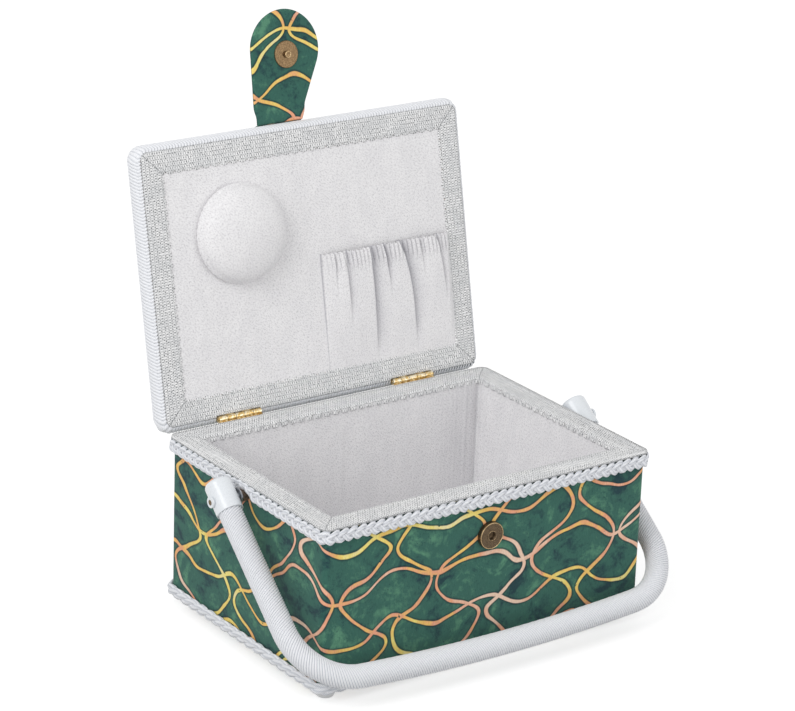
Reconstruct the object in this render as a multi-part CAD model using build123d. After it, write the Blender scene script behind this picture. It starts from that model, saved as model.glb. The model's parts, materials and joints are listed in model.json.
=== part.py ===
from build123d import *
import math
import os

# Cloth-covered sewing box with a hinged lid, a closing flap and a swinging handle.
# Millimetres. The origin is on the floor under the middle of the box, +X right, +Y back, +Z up.
# The lid, the flap and the handle are drawn in their own simple position and then turned to where
# they stand: the lid open on its stop, the flap standing up from it and the handle lowered in front.

# Outside of the box
box_width = 226.0
box_depth = 160.0
rim_height = 106.6
cover_corner_radius = 3.5
foot_height = 6.0

# Layers of the walls and the base
cloth_thickness = 0.6
wadding_thickness = 1.4
panel_thickness = 3.0
batten_width = 6.5
batten_height = 14.0
floor_pad_thickness = 2.4
lining_thickness = 0.5
tape_thickness = 0.5
tape_drop = 4.0
rim_tape_overhang = 2.0
trim_gap = 0.2

# Braids round the outside
braid_bulge = 3.5
top_braid_height = 8.9
bottom_braid_height = 8.0
bottom_braid_drop = 0.4
braid_rounding = 1.6
braid_cut_clearance = 0.5

# Feet and their screws
foot_inset = 9.0
foot_floor_radius = 5.0
foot_top_radius = 7.5
foot_rounding = 1.5
foot_screw_radius = 1.5
foot_screw_head_radius = 2.8
foot_screw_head_height = 1.4
foot_screw_recess = 2.2
foot_screw_bite = 2.8
screw_clearance = 0.05

# Hinges
hinge_setback = 6.3
hinge_spacing = 126.0
hinge_length = 30.0
leaf_width = 14.5
leaf_thickness = 0.8
knuckle_radius = 2.0
knuckle_count = 5
knuckle_gap = 0.3
hinge_pin_radius = 0.9
running_clearance = 0.05
hinge_screw_radius = 0.9
hinge_screw_head_radius = 1.7
hinge_screw_length = 6.0
hinge_screw_spacing = 18.0
hinge_screw_offset = 12.5
shut_gap = 0.5
lid_open_angle = 102.0

# Lid
lid_side_overhang = 3.1
lid_front_overhang = 1.1
lid_back_overhang = 2.8
lid_edge_depth = 4.3
lid_edge_half_height = 6.5
lid_cord_thickness = 1.8
lid_corner_radius = 8.8
lid_board_thickness = 2.5
lid_inner_board_thickness = 2.0
lid_rail_width = 13.0
lid_tape_width = 14.0
lid_tape_outset = 0.5
lid_crown = 3.0
lid_crown_run = 30.0
crown_steps = 4

# Pin cushion in the lid
cushion_centre_x = -51.0
cushion_from_hinge = 108.0
cushion_seam_radius = 28.5
cushion_radius = 30.0
cushion_side_height = 6.5
cushion_height = 17.0

# Gathered pocket in the lid
pocket_left = 4.0
pocket_right = 97.5
pocket_bottom = 19.6
pocket_top = 86.0
pocket_cloth = 0.8
pocket_lean = 2.5
pocket_sewn_fullness = 1.2
pocket_fullness = 12.0
pocket_folds = 5
pocket_sewn_fold_depth = 0.1
pocket_fold_depth = 1.5
pocket_steps = 4
elastic_width = 5.0
elastic_thickness = 0.5
elastic_below_mouth = 2.5
elastic_clearance = 0.2

# Closing flap
flap_thickness = 2.5
flap_neck_width = 32.0
flap_head_radius = 24.0
flap_reach = 38.2
flap_head_ahead = 3.0
flap_skew = 14.0
flap_axis_height = 9.5
flap_crank_start = 1.5
flap_crank_length = 8.0
flap_edge_clearance = 0.35
flap_braid_clearance = 0.55
flap_rounding = 0.6
stiffener_thickness = 1.0
stiffener_inset = 2.5
tab_tongue_length = 14.0
tab_thickness = 0.8

# Magnetic snap
snap_radius = 8.2
stud_rounding = 0.5
socket_rounding = 0.6
snap_shut_gap = 0.3
stud_disc_thickness = 1.0
stud_knob_radius = 2.2
stud_knob_height = 1.6
socket_hole_radius = 2.6
socket_wall = 0.6
magnet_radius = 7.0
prong_offset = 4.0
prong_width = 2.0
prong_thickness = 0.5
back_plate_thickness = 0.8
stud_plate_radius = 6.0
stud_plate_thickness = 0.5

# Handle and its pivots
pivot_height = 98.0
handle_reach = 127.0
handle_splay = 2.8
handle_bow = 3.0
handle_bend_radius = 36.0
handle_radius = 7.0
handle_core_radius = 4.5
handle_down_angle = 38.8
cap_radius = 8.0
cap_behind = 11.5
cap_ahead = 8.5
cap_rounding = 2.5
tube_start = 4.0
pivot_bolt_radius = 2.0
pivot_head_radius = 3.2
pivot_head_thickness = 1.2
pivot_end_play = 0.4
spacer_length = 5.3
spacer_radius = 3.5
washer_radius = 5.0
washer_thickness = 0.8
nut_radius = 3.6
nut_thickness = 2.4
nut_recess_radius = 4.0
nut_recess_depth = 3.6

# Heights and insets that follow from the layers
bottom_height = foot_height
board_bottom = bottom_height + cloth_thickness
board_top = board_bottom + panel_thickness
floor_pad_top = board_top + floor_pad_thickness
wood_top = rim_height - tape_thickness
leaf_underside = wood_top - leaf_thickness
cover_top = leaf_underside - trim_gap
wadding_inset = cloth_thickness
panel_inset = wadding_inset + wadding_thickness
batten_inset = panel_inset + panel_thickness
lining_inset = batten_inset + batten_width
inner_inset = lining_inset + lining_thickness
tape_inset = inner_inset + tape_thickness

# Hinge axis and the lid's own measures: s runs forwards from the axis, t up from the shut lid's face
hinge_y = box_depth / 2 + hinge_setback
hinge_z = rim_height + shut_gap / 2
lid_face_z = rim_height + shut_gap
lid_front_y = -box_depth / 2 - lid_front_overhang
lid_back_y = hinge_y + lid_back_overhang
lid_half_width = box_width / 2 + lid_side_overhang
edge_middle_t = tape_thickness + lid_edge_half_height
edge_top_t = tape_thickness + 2 * lid_edge_half_height
lid_board_t = edge_top_t - lid_board_thickness
path_half_width = lid_half_width - lid_edge_depth
path_front_y = lid_front_y + lid_edge_depth
path_back_y = lid_back_y - lid_edge_depth
path_corner = lid_corner_radius - lid_edge_depth
bead_depth = lid_edge_depth - lid_cord_thickness
bead_half_height = lid_edge_half_height - lid_cord_thickness

# Flap axis on the shut lid, the flap's inner face where it hangs shut in front of the braid, the step
# of the flap's neck out to there, and the snap that the flap reaches on the front of the box
flap_axis_y = lid_front_y - flap_edge_clearance - flap_thickness / 2
flap_axis_z = lid_face_z + flap_axis_height
shut_flap_y = -box_depth / 2 - braid_bulge - flap_braid_clearance
flap_step = flap_axis_y + flap_thickness / 2 - shut_flap_y
snap_height = flap_axis_z - flap_reach
socket_thickness = -box_depth / 2 - shut_flap_y - stud_disc_thickness - snap_shut_gap

# Distances from the middle of the box along a pivot bolt, from the wall outwards
washer_start = box_width / 2 + spacer_length
cap_inner = washer_start + washer_thickness
pivot_half_spread = cap_inner + pivot_end_play + cap_radius
cap_outer = pivot_half_spread + cap_radius + pivot_end_play

hinge_axis = Axis((0, hinge_y, hinge_z), (1, 0, 0))
hinge_centres = [-hinge_spacing / 2, hinge_spacing / 2]


def block(low, high):
    """Box between two opposite corners."""
    size = [b - a for a, b in zip(low, high)]
    middle = [(a + b) / 2 for a, b in zip(low, high)]
    return Pos(*middle) * Box(*size)


def slab(half_width, front, back, bottom, top, radius=0.0):
    """Upright prism on a rectangle centred in X, its upright corners rounded by radius."""
    width = 2 * half_width
    depth = back - front
    outline = RectangleRounded(width, depth, radius) if radius > 0 else Rectangle(width, depth)
    return Pos(0, (front + back) / 2, bottom) * extrude(outline, top - bottom)


def box_slab(inset, bottom, top, radius=0.0):
    """Prism on the box's outline, drawn in by inset on every side."""
    half_depth = box_depth / 2 - inset
    return slab(box_width / 2 - inset, -half_depth, half_depth, bottom, top, radius)


def box_ring(outer, inner, bottom, top, radius, inner_radius):
    """Wall round the box between two insets, its corners rounded outside and inside."""
    return box_slab(outer, bottom, top, radius) - box_slab(inner, bottom, top, inner_radius)


def lid_slab(inset, low_t, high_t, radius=path_corner):
    """Prism on the outline where the lid's edge cord starts, drawn in by inset."""
    return slab(
        path_half_width - inset, path_front_y + inset, path_back_y - inset,
        lid_face_z + low_t, lid_face_z + high_t, radius,
    )


def rod(start, end, radius):
    """Round bar between two points."""
    run = Vector(*end) - Vector(*start)
    return Plane(origin=start, z_dir=run) * extrude(Circle(radius), run.length)


def place_along_x(side, start, end, radius, y, z):
    """Round bar along X on one side of the box, side being -1 left or 1 right."""
    return rod((side * start, y, z), (side * end, y, z), radius)


def turned(points):
    """Solid of revolution about Z from a closed outline of (radius, height) points."""
    outline = Plane.XZ * make_face(Polyline(*points, close=True))
    return revolve(outline, Axis.Z)


def hinge_leaf(side):
    """One leaf of a butt hinge about a pin along X at the origin. Its plate runs towards -Y, below the
    pin for the box (side -1) and above it for the lid (side 1), and it has every other knuckle."""
    near = shut_gap / 2 + tape_thickness
    low, high = sorted((side * near, side * (near + leaf_thickness)))
    half = hinge_length / 2
    leaf = block((-half, -leaf_width, low), (half, 0, high))
    pitch = hinge_length / knuckle_count
    own = 0 if side < 0 else 1
    for i in range(knuckle_count):
        start = -half + i * pitch
        if i % 2 == own:
            ends = ((start + knuckle_gap / 2, 0, 0), (start + pitch - knuckle_gap / 2, 0, 0))
            leaf += rod(*ends, knuckle_radius)
        else:
            leaf -= rod((start, 0, 0), (start + pitch, 0, 0), knuckle_radius + knuckle_gap)
    bore = hinge_pin_radius if side < 0 else hinge_pin_radius + running_clearance
    return leaf - rod((-half, 0, 0), (half, 0, 0), bore)


def hinge_screw():
    """Countersunk screw with its head's top at the origin, pointing down."""
    taper = hinge_screw_head_radius - hinge_screw_radius
    return turned([
        (0, 0), (hinge_screw_head_radius, 0), (hinge_screw_radius, -taper),
        (hinge_screw_radius, -hinge_screw_length), (0, -hinge_screw_length),
    ])


def screw_places():
    """X of each hinge screw."""
    half = hinge_screw_spacing / 2
    return [x + offset for x in hinge_centres for offset in (-half, half)]


def box_screws():
    """Screws through the box leaves into the back batten."""
    return [Pos(x, hinge_y - hinge_screw_offset, wood_top) * hinge_screw() for x in screw_places()]


def lid_screws():
    """Screws through the lid leaves into the back rail of the lid, pointing up when it is shut."""
    upright = Pos(0, 0, lid_face_z + tape_thickness) * Rot(180, 0, 0)
    return [Pos(x, hinge_y - hinge_screw_offset, 0) * upright * hinge_screw() for x in screw_places()]


def leaf_recess(low_z, high_z):
    """Room for both plates of one level in the wood."""
    half = hinge_length / 2
    front = hinge_y - leaf_width
    return [block((x - half, front, low_z), (x + half, hinge_y, high_z)) for x in hinge_centres]


def knuckle_recess():
    """Room for the knuckles of both hinges in the lid's back edge."""
    half = hinge_length / 2 + trim_gap
    room = knuckle_radius + trim_gap
    return [
        block((x - half, hinge_y - room, lid_face_z), (x + half, lid_back_y, hinge_z + room))
        for x in hinge_centres
    ]


def foot_places():
    """Name and centre of each foot."""
    x = box_width / 2 - foot_inset
    y = box_depth / 2 - foot_inset
    return {
        "foot_front_left": (-x, -y), "foot_front_right": (x, -y),
        "foot_back_left": (-x, y), "foot_back_right": (x, y),
    }


def foot():
    """Domed plastic foot with a recess for its screw's head."""
    body = turned([(0, 0), (foot_floor_radius, 0), (foot_top_radius, foot_height), (0, foot_height)])
    rim = body.edges().filter_by(GeomType.CIRCLE).sort_by(Axis.Z)[0]
    body = fillet(rim, foot_rounding)
    body -= rod((0, 0, 0), (0, 0, foot_screw_recess), foot_screw_head_radius + screw_clearance)
    return body - rod((0, 0, 0), (0, 0, foot_height), foot_screw_radius + screw_clearance)


def foot_screw():
    """Pan-head screw through a foot into the base board."""
    head_bottom = foot_screw_recess - foot_screw_head_height
    head = rod((0, 0, head_bottom), (0, 0, foot_screw_recess), foot_screw_head_radius)
    shank = rod((0, 0, foot_screw_recess), (0, 0, board_bottom + foot_screw_bite), foot_screw_radius)
    return head + shank


def snap_prongs(clearance):
    """Two flat prongs that hold the snap socket through the front wall."""
    half_width = prong_width / 2 + clearance
    half_thickness = prong_thickness / 2 + clearance
    outside = -box_depth / 2
    inside = -box_depth / 2 + batten_inset + back_plate_thickness
    return [
        block((x - half_thickness, outside, snap_height - half_width),
              (x + half_thickness, inside, snap_height + half_width))
        for x in (-prong_offset, prong_offset)
    ]


def snap_disc(start, end, radius):
    """Round plate on the snap's axis, between two distances in front of the box's middle."""
    return rod((0, -start, snap_height), (0, -end, snap_height), radius)


def lofted(outlines):
    """Solid through a stack of faces, with straight walls from one to the next."""
    return loft(outlines, ruled=True)


def quarter_ellipse(steps):
    """Shares of the run and of the rise along a quarter of an ellipse, steep first and then level."""
    angles = [math.pi / 2 * i / steps for i in range(steps + 1)]
    return [(1 - math.cos(angle), math.sin(angle)) for angle in angles]


def crowned_pad(base_t, edge_height, inset):
    """Pad on the lid's outer face: a low upright edge, then a crown that flattens towards the middle.
    Each level is a rounded rectangle, further in as the crown rises."""
    levels = [(inset, base_t)]
    for share_in, share_up in quarter_ellipse(crown_steps):
        drawn_in = inset + lid_crown_run * share_in
        height = base_t + edge_height + lid_crown * share_up
        levels.append((drawn_in, height))
    middle_y = (path_front_y + path_back_y) / 2
    faces = [
        Pos(0, middle_y, lid_face_z + height) * RectangleRounded(
            2 * (path_half_width - drawn_in), path_back_y - path_front_y - 2 * drawn_in, path_corner)
        for drawn_in, height in levels
    ]
    return lofted(faces)


def lid_edge_run(section):
    """Section carried round the lid's edge. It is drawn with X outwards and Y up."""
    middle_y = (path_front_y + path_back_y) / 2
    outline = RectangleRounded(2 * path_half_width, path_back_y - path_front_y, path_corner)
    path = (Pos(0, middle_y, lid_face_z + edge_middle_t) * outline).wire()
    start = path.position_at(0)
    ahead = path.tangent_at(0)
    outward = ahead.cross(Vector(0, 0, 1))
    if outward.dot(start - Vector(0, middle_y, start.Z)) < 0:
        outward = -outward
    face = Plane(origin=start, x_dir=outward, z_dir=outward.cross(Vector(0, 0, 1))) * section
    return sweep(face, path=path)


def right_half(section, depth, half_height):
    """Part of a section to the right of the origin."""
    return section & (Pos(depth, 0) * Rectangle(2 * depth, 4 * half_height))


def edge_oval(grown=0.0):
    """Oval whose outer half is the section of the lid's corded edge, or of a layer grown over it."""
    return Ellipse(lid_edge_depth + grown, lid_edge_half_height + grown)


def pocket_section(from_hinge, fullness, fold_depth):
    """Face across the pocket's cloth at one distance from the hinge: it leaves the lining at both
    sides, stands off it by fullness, and its main folds swing out and in by fold_depth."""
    left = pocket_left + pocket_lean
    right = pocket_right - pocket_lean
    half_waves = 2 * pocket_folds - 1

    def wave(height, inset):
        """Arcs from left to right, bulging out and in by turns."""
        arcs = []
        span = (right - left - 2 * inset) / half_waves
        for i in range(half_waves):
            a = left + inset + i * span
            bulge = fold_depth * (1 if i % 2 == 0 else -1)
            arcs.append(ThreePointArc((a, height), (a + span / 2, height + bulge), (a + span, height)))
        return arcs

    inside = fullness - pocket_cloth
    inset = pocket_cloth
    outer = wave(fullness, 0)
    inner = wave(inside, inset)
    lines = [
        Line((pocket_left, 0), (left, fullness)),
        *outer,
        Line((right, fullness), (pocket_right, 0)),
        Line((pocket_right, 0), (pocket_right - pocket_cloth, 0)),
        Line((pocket_right - pocket_cloth, 0), (right - inset, inside)),
        *inner,
        Line((left + inset, inside), (pocket_left + pocket_cloth, 0)),
        Line((pocket_left + pocket_cloth, 0), (pocket_left, 0)),
    ]
    # Drawn across X and away from the lining, which faces down when the lid is shut
    lining_z = lid_face_z + tape_thickness
    plane = Plane(origin=(0, hinge_y - from_hinge, lining_z), x_dir=(1, 0, 0), z_dir=(0, 1, 0))
    return plane * make_face(lines)


def bail_points():
    """Points of the handle's centre line in its own plane, for the right half: X across and Y away
    from the pivots. A splayed straight arm runs into a round bend and that into the bowed bar, each
    tangent to the next."""
    splay = math.atan2(handle_splay, handle_reach - handle_bend_radius)
    arm = Vector(math.sin(splay), math.cos(splay), 0)
    inward = Vector(-math.cos(splay), math.sin(splay), 0)
    pivot = Vector(pivot_half_spread, 0, 0)
    bar_half = pivot_half_spread - handle_bend_radius
    bow_radius = (bar_half**2 + handle_bow**2) / (2 * handle_bow)
    bow_centre = Vector(0, handle_reach - bow_radius, 0)
    # The bend's centre is one bend radius inside the arm and inside the bow
    offset = pivot + inward * handle_bend_radius - bow_centre
    along = offset.dot(arm)
    reach = math.sqrt(along**2 - offset.dot(offset) + (bow_radius - handle_bend_radius) ** 2) - along
    bend_start = pivot + arm * reach
    bend_centre = bend_start + inward * handle_bend_radius
    outward = (bend_centre - bow_centre).normalized()
    bend_end = bow_centre + outward * bow_radius
    halfway = (outward - inward).normalized()
    bend_middle = bend_centre + halfway * handle_bend_radius
    return pivot, arm, bend_start, bend_middle, bend_end


def mirrored(point):
    """Point on the other side of the box."""
    return Vector(-point.X, point.Y, point.Z)


down = math.radians(handle_down_angle)
handle_plane = Plane(
    origin=(0, 0, pivot_height), x_dir=(1, 0, 0), z_dir=(0, math.sin(down), -math.cos(down))
)
nodes = {}


def make_base():
    """Base board with its feet, and the cloth under it."""
    board = box_slab(batten_inset, board_bottom, board_top)
    cloth = box_slab(wadding_inset, bottom_height, board_bottom, cover_corner_radius - cloth_thickness)
    screws = []
    for name, (x, y) in foot_places().items():
        nodes[name] = Pos(x, y, 0) * foot()
        screws.append(Pos(x, y, 0) * foot_screw())
        hole = ((x, y, bottom_height), (x, y, board_top))
        cloth -= rod(*hole, foot_screw_radius + screw_clearance)
        board -= rod(*hole, foot_screw_radius)
    nodes["foot_screws"] = Compound(children=screws)
    nodes["base_board"] = board
    nodes["base_cloth"] = cloth


def make_walls():
    """Panels, battens, inner padding, wadding and cover cloth of the four walls."""
    panel_x = box_width / 2 - panel_inset
    panel_y = box_depth / 2 - panel_inset
    batten_x = box_width / 2 - batten_inset
    batten_y = box_depth / 2 - batten_inset
    lining_x = box_width / 2 - lining_inset
    lining_y = box_depth / 2 - lining_inset
    batten_bottom = wood_top - batten_height

    def wall_pair(across_name, side_name, outer, inner, bottom, top):
        """Front and back pieces over the full width, left and right ones between them."""
        outer_x, outer_y = outer
        inner_x, inner_y = inner
        return {
            "front_" + across_name: block((-outer_x, -outer_y, bottom), (outer_x, -inner_y, top)),
            "back_" + across_name: block((-outer_x, inner_y, bottom), (outer_x, outer_y, top)),
            "left_" + side_name: block((-outer_x, -inner_y, bottom), (-inner_x, inner_y, top)),
            "right_" + side_name: block((inner_x, -inner_y, bottom), (outer_x, inner_y, top)),
        }

    outer, middle, inner = (panel_x, panel_y), (batten_x, batten_y), (lining_x, lining_y)
    wood = wall_pair("panel", "panel", outer, middle, board_bottom, wood_top)
    wood.update(wall_pair("batten", "batten", middle, inner, batten_bottom, wood_top))
    pads = wall_pair("pad", "pad", middle, inner, board_top, batten_bottom)
    under_cloth = cover_corner_radius - cloth_thickness
    skins = {
        "wadding": box_ring(wadding_inset, panel_inset, board_bottom, cover_top, under_cloth, 0),
        "outer_cover": box_ring(0, wadding_inset, bottom_height, cover_top,
                                cover_corner_radius, under_cloth),
        "top_braid": braid(cover_top - top_braid_height, cover_top),
    }
    for recess in leaf_recess(leaf_underside, wood_top):
        wood["back_panel"] -= recess
        wood["back_batten"] -= recess
    for screw in box_screws():
        wood["back_batten"] -= screw

    # Holes for the handle's pivots
    for side, name in ((-1, "left"), (1, "right")):
        shank = place_along_x(side, lining_x, lid_half_width, pivot_bolt_radius + screw_clearance,
                              0, pivot_height)
        recess = place_along_x(side, lining_x, lining_x + nut_recess_depth, nut_recess_radius,
                               0, pivot_height)
        wood[name + "_panel"] -= shank
        wood[name + "_batten"] -= shank
        wood[name + "_batten"] -= recess
        skins["wadding"] -= shank
        skins["outer_cover"] -= shank
        notch_half = spacer_radius + braid_cut_clearance
        near, far = sorted((side * box_width / 2, side * (box_width / 2 + braid_bulge)))
        notch_bottom = cover_top - top_braid_height
        skins["top_braid"] -= block((near, -notch_half, notch_bottom),
                                    (far, notch_half, pivot_height + notch_half))

    # Holes for the snap socket's prongs and room for its back plate
    for slot in snap_prongs(screw_clearance):
        wood["front_panel"] -= slot
        skins["wadding"] -= slot
        skins["outer_cover"] -= slot
    plate_front = box_depth / 2 - batten_inset
    pads["front_pad"] -= snap_disc(plate_front, plate_front - back_plate_thickness, snap_radius)
    nodes.update(wood)
    nodes["wall_pads"] = Compound(children=list(pads.values()))
    nodes.update(skins)
    nodes["bottom_braid"] = braid(bottom_height - bottom_braid_drop,
                                  bottom_height - bottom_braid_drop + bottom_braid_height)


def braid(bottom, top):
    """Plaited cord round the outside of the cover, its outer edges rounded."""
    corner = cover_corner_radius + braid_bulge
    ring = box_slab(-braid_bulge, bottom, top, corner)
    ring = fillet(ring.edges().filter_by(Plane.XY), braid_rounding)
    return ring - box_slab(0, bottom, top, cover_corner_radius)


def make_inside():
    """Floor pad, lining and the tape over the rim."""
    nodes["floor_pad"] = box_slab(lining_inset, board_top, floor_pad_top)
    lining = box_slab(lining_inset, floor_pad_top, wood_top)
    nodes["box_lining"] = lining - box_slab(inner_inset, floor_pad_top + lining_thickness, wood_top)
    tape = box_slab(-rim_tape_overhang, wood_top, rim_height, cover_corner_radius + rim_tape_overhang)
    tape += box_slab(inner_inset, rim_height - tape_drop, rim_height)
    nodes["rim_tape"] = tape - box_slab(tape_inset, rim_height - tape_drop, rim_height)


def make_hinges():
    """Leaves, pins and screws of the two hinges."""
    box_screw_list = box_screws()
    lid_screw_list = lid_screws()
    pins = []
    for name, x in zip(("left", "right"), hinge_centres):
        place = Pos(x, hinge_y, hinge_z)
        box_leaf = place * hinge_leaf(-1)
        lid_leaf = place * hinge_leaf(1)
        for screw in box_screw_list:
            box_leaf -= screw
        for screw in lid_screw_list:
            lid_leaf -= screw
        nodes["hinge_" + name + "_box_leaf"] = box_leaf
        nodes["hinge_" + name + "_lid_leaf"] = opened(lid_leaf)
        half = hinge_length / 2
        pins.append(rod((x - half, hinge_y, hinge_z), (x + half, hinge_y, hinge_z), hinge_pin_radius))
    nodes["hinge_pins"] = Compound(children=pins)
    nodes["hinge_box_screws"] = Compound(children=box_screw_list)
    nodes["hinge_lid_screws"] = Compound(children=[opened(screw) for screw in lid_screw_list])


def opened(piece):
    """Piece of the shut lid, turned to where the lid stands open."""
    return piece.rotate(hinge_axis, -lid_open_angle)


def make_lid_body():
    """Frame, boards, edge beading, edge cord, padding, cover, lining and tape of the lid."""
    rails = lid_slab(0, tape_thickness, lid_board_t) \
        - lid_slab(lid_rail_width, tape_thickness, lid_board_t, 0)
    for screw in lid_screws():
        rails -= screw
    leaf_bottom = lid_face_z + tape_thickness
    for recess in leaf_recess(leaf_bottom, leaf_bottom + leaf_thickness):
        rails -= recess
    knuckle_room = knuckle_recess()
    for recess in knuckle_room:
        rails -= recess
    inner_front = path_front_y + lid_rail_width
    inner_back = path_back_y - lid_rail_width
    cuts = (
        slab(lid_half_width, lid_front_y, inner_front, lid_face_z, lid_face_z + lid_board_t),
        slab(lid_half_width, inner_back, lid_back_y, lid_face_z, lid_face_z + lid_board_t),
        slab(lid_half_width, inner_front, inner_back, lid_face_z, lid_face_z + lid_board_t),
    )
    pieces = []
    for cut in cuts:
        pieces.extend((rails & cut).solids())
    nodes["lid_frame"] = opened(Compound(children=pieces))

    lining_top = tape_thickness + lining_thickness
    nodes["lid_lining"] = opened(lid_slab(lid_rail_width, tape_thickness, lining_top, 0))
    inner_top = lining_top + lid_inner_board_thickness
    nodes["lid_inner_board"] = opened(lid_slab(lid_rail_width, lining_top, inner_top, 0))
    nodes["lid_board"] = opened(lid_slab(0, lid_board_t, edge_top_t))
    tape = lid_slab(-lid_tape_outset, 0, tape_thickness, path_corner + lid_tape_outset)
    tape -= lid_slab(lid_tape_width - lid_tape_outset, 0, tape_thickness, 0)

    bead_oval = Ellipse(bead_depth, bead_half_height)
    beading = lid_edge_run(right_half(bead_oval, lid_edge_depth, lid_edge_half_height))
    cord = lid_edge_run(right_half(edge_oval() - bead_oval, lid_edge_depth, lid_edge_half_height))
    for recess in knuckle_room:
        tape -= recess
        beading -= recess
        cord -= recess
    nodes["lid_tape"] = opened(tape)
    nodes["lid_edge_beading"] = opened(beading)
    nodes["lid_edge_cord"] = opened(cord)

    # Padding and cover, with room for the tongue of the flap's tab
    tongue = flap_tongue()
    padding = crowned_pad(edge_top_t, cloth_thickness, cloth_thickness)
    cover = crowned_pad(edge_top_t, 2 * cloth_thickness, 0) - padding
    nodes["lid_padding"] = opened(padding - tongue)
    nodes["lid_cover"] = opened(cover - tongue)


def make_pin_cushion():
    """Round cushion, drawn in where it is sewn to the lining and domed to a crown."""
    side = ThreePointArc((cushion_seam_radius, 0), (cushion_radius, cushion_side_height / 2),
                         (cushion_seam_radius, cushion_side_height))
    rise = cushion_height - cushion_side_height
    dome_radius = (cushion_seam_radius**2 + rise**2) / (2 * rise)
    half_angle = math.asin(cushion_seam_radius / dome_radius) / 2
    on_dome = (dome_radius * math.sin(half_angle),
               cushion_height - dome_radius * (1 - math.cos(half_angle)))
    dome = ThreePointArc((cushion_seam_radius, cushion_side_height), on_dome, (0, cushion_height))
    outline = [Line((0, 0), (cushion_seam_radius, 0)), side, dome, Line((0, cushion_height), (0, 0))]
    cushion = revolve(Plane.XZ * make_face(outline), Axis.Z)
    place = Pos(cushion_centre_x, hinge_y - cushion_from_hinge, lid_face_z + tape_thickness)
    nodes["pin_cushion"] = opened(place * Rot(180, 0, 0) * cushion)


def make_pocket():
    """Gathered pocket on the lid's lining, flat at its sewn bottom and full at its mouth."""
    height = pocket_top - pocket_bottom
    fuller = pocket_fullness - pocket_sewn_fullness
    deeper = pocket_fold_depth - pocket_sewn_fold_depth
    sections = [
        pocket_section(pocket_bottom + height * up, pocket_sewn_fullness + fuller * out,
                       pocket_sewn_fold_depth + deeper * out)
        for up, out in quarter_ellipse(pocket_steps)
    ]
    nodes["pocket"] = opened(lofted(sections))
    lining_z = lid_face_z + tape_thickness
    top_y = hinge_y - pocket_top + elastic_below_mouth
    side = pocket_lean + 2 * pocket_cloth
    elastic_outside = lining_z - pocket_fullness + pocket_cloth + pocket_fold_depth + elastic_clearance
    nodes["pocket_elastic"] = opened(block(
        (pocket_left + side, top_y, elastic_outside),
        (pocket_right - side, top_y + elastic_width, elastic_outside + elastic_thickness),
    ))


def flap_neck_x(from_axis):
    """Middle of the skewed flap at a distance from its axis, 0 where the snap is."""
    return (from_axis - flap_reach) * math.tan(math.radians(flap_skew))


def flap_outline(inset=0.0):
    """Flap seen from above, at its own axis: a neck that widens to a round head."""
    half = flap_neck_width / 2 - inset
    head = (flap_neck_x(flap_reach), -flap_reach - flap_head_ahead)
    neck = flap_neck_x(0)
    base = Line((neck - half, -inset), (neck + half, -inset))
    circle = Pos(*head) * Circle(flap_head_radius - inset)
    return make_hull(base.edges() + circle.edges())


def flap_side_line(offset):
    """Side view of the flap's middle surface, moved outwards by offset: level past the axis, then two
    equal arcs that step it outwards, then level to past the tip. Points are (y, z) from the axis."""
    radius = (flap_crank_length**2 + flap_step**2) / (4 * flap_step)
    turn = math.asin(flap_crank_length / (2 * radius))
    crank_end = -flap_crank_start - flap_crank_length
    past_tip = -flap_reach - flap_head_ahead - 2 * flap_head_radius

    def on_first(angle):
        """Point on the arc that curves outwards."""
        reach = radius - offset
        return (-flap_crank_start - reach * math.sin(angle), radius - reach * math.cos(angle))

    def on_second(angle):
        """Point on the arc that curves back to level."""
        reach = radius + offset
        return (crank_end + reach * math.sin(angle), flap_step - radius + reach * math.cos(angle))

    return [
        Line((flap_thickness, offset), on_first(0)),
        ThreePointArc(on_first(0), on_first(turn / 2), on_first(turn)),
        ThreePointArc(on_second(turn), on_second(turn / 2), on_second(0)),
        Line(on_second(0), (past_tip, flap_step + offset)),
    ]


def flap_layer(low, high):
    """Layer of the stepped flap between two offsets from its middle surface, wider than the flap."""
    upper = flap_side_line(high)
    lower = flap_side_line(low)
    ends = [Line(upper[0] @ 0, lower[0] @ 0), Line(upper[-1] @ 1, lower[-1] @ 1)]
    side = Plane.YZ * make_face([*upper, *lower, *ends])
    return extrude(side, flap_reach + flap_head_radius, both=True)


def flap_prism(inset=0.0):
    """Flap's outline as an upright prism, taller than the flap on both sides."""
    return extrude(flap_outline(inset), flap_reach, both=True)


def flap_tongue():
    """Thin end of the tab, under the lid's cover."""
    neck = flap_neck_x(0)
    half = flap_neck_width / 2
    low = lid_face_z + edge_top_t
    return block((neck - half, path_front_y, low),
                 (neck + half, path_front_y + tab_tongue_length, low + tab_thickness))


def flap_tab():
    """Tab over the lid's corded edge, from its tongue down to just short of the flap's axis."""
    neck = flap_neck_x(0)
    half = flap_neck_width / 2
    shell = edge_oval(tab_thickness) - edge_oval()
    plane = Plane(origin=(neck - half, path_front_y, lid_face_z + edge_middle_t),
                  x_dir=(0, -1, 0), z_dir=(-1, 0, 0))
    sleeve = plane * extrude(shell, -flap_neck_width)
    above = block((neck - half, lid_front_y - 2 * tab_thickness, flap_axis_z),
                  (neck + half, path_front_y, flap_axis_z + 2 * lid_edge_half_height))
    nose_room = rod((neck - half, flap_axis_y, flap_axis_z), (neck + half, flap_axis_y, flap_axis_z),
                    flap_thickness / 2 + flap_edge_clearance)
    return (sleeve & above) - nose_room + flap_tongue()


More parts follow.
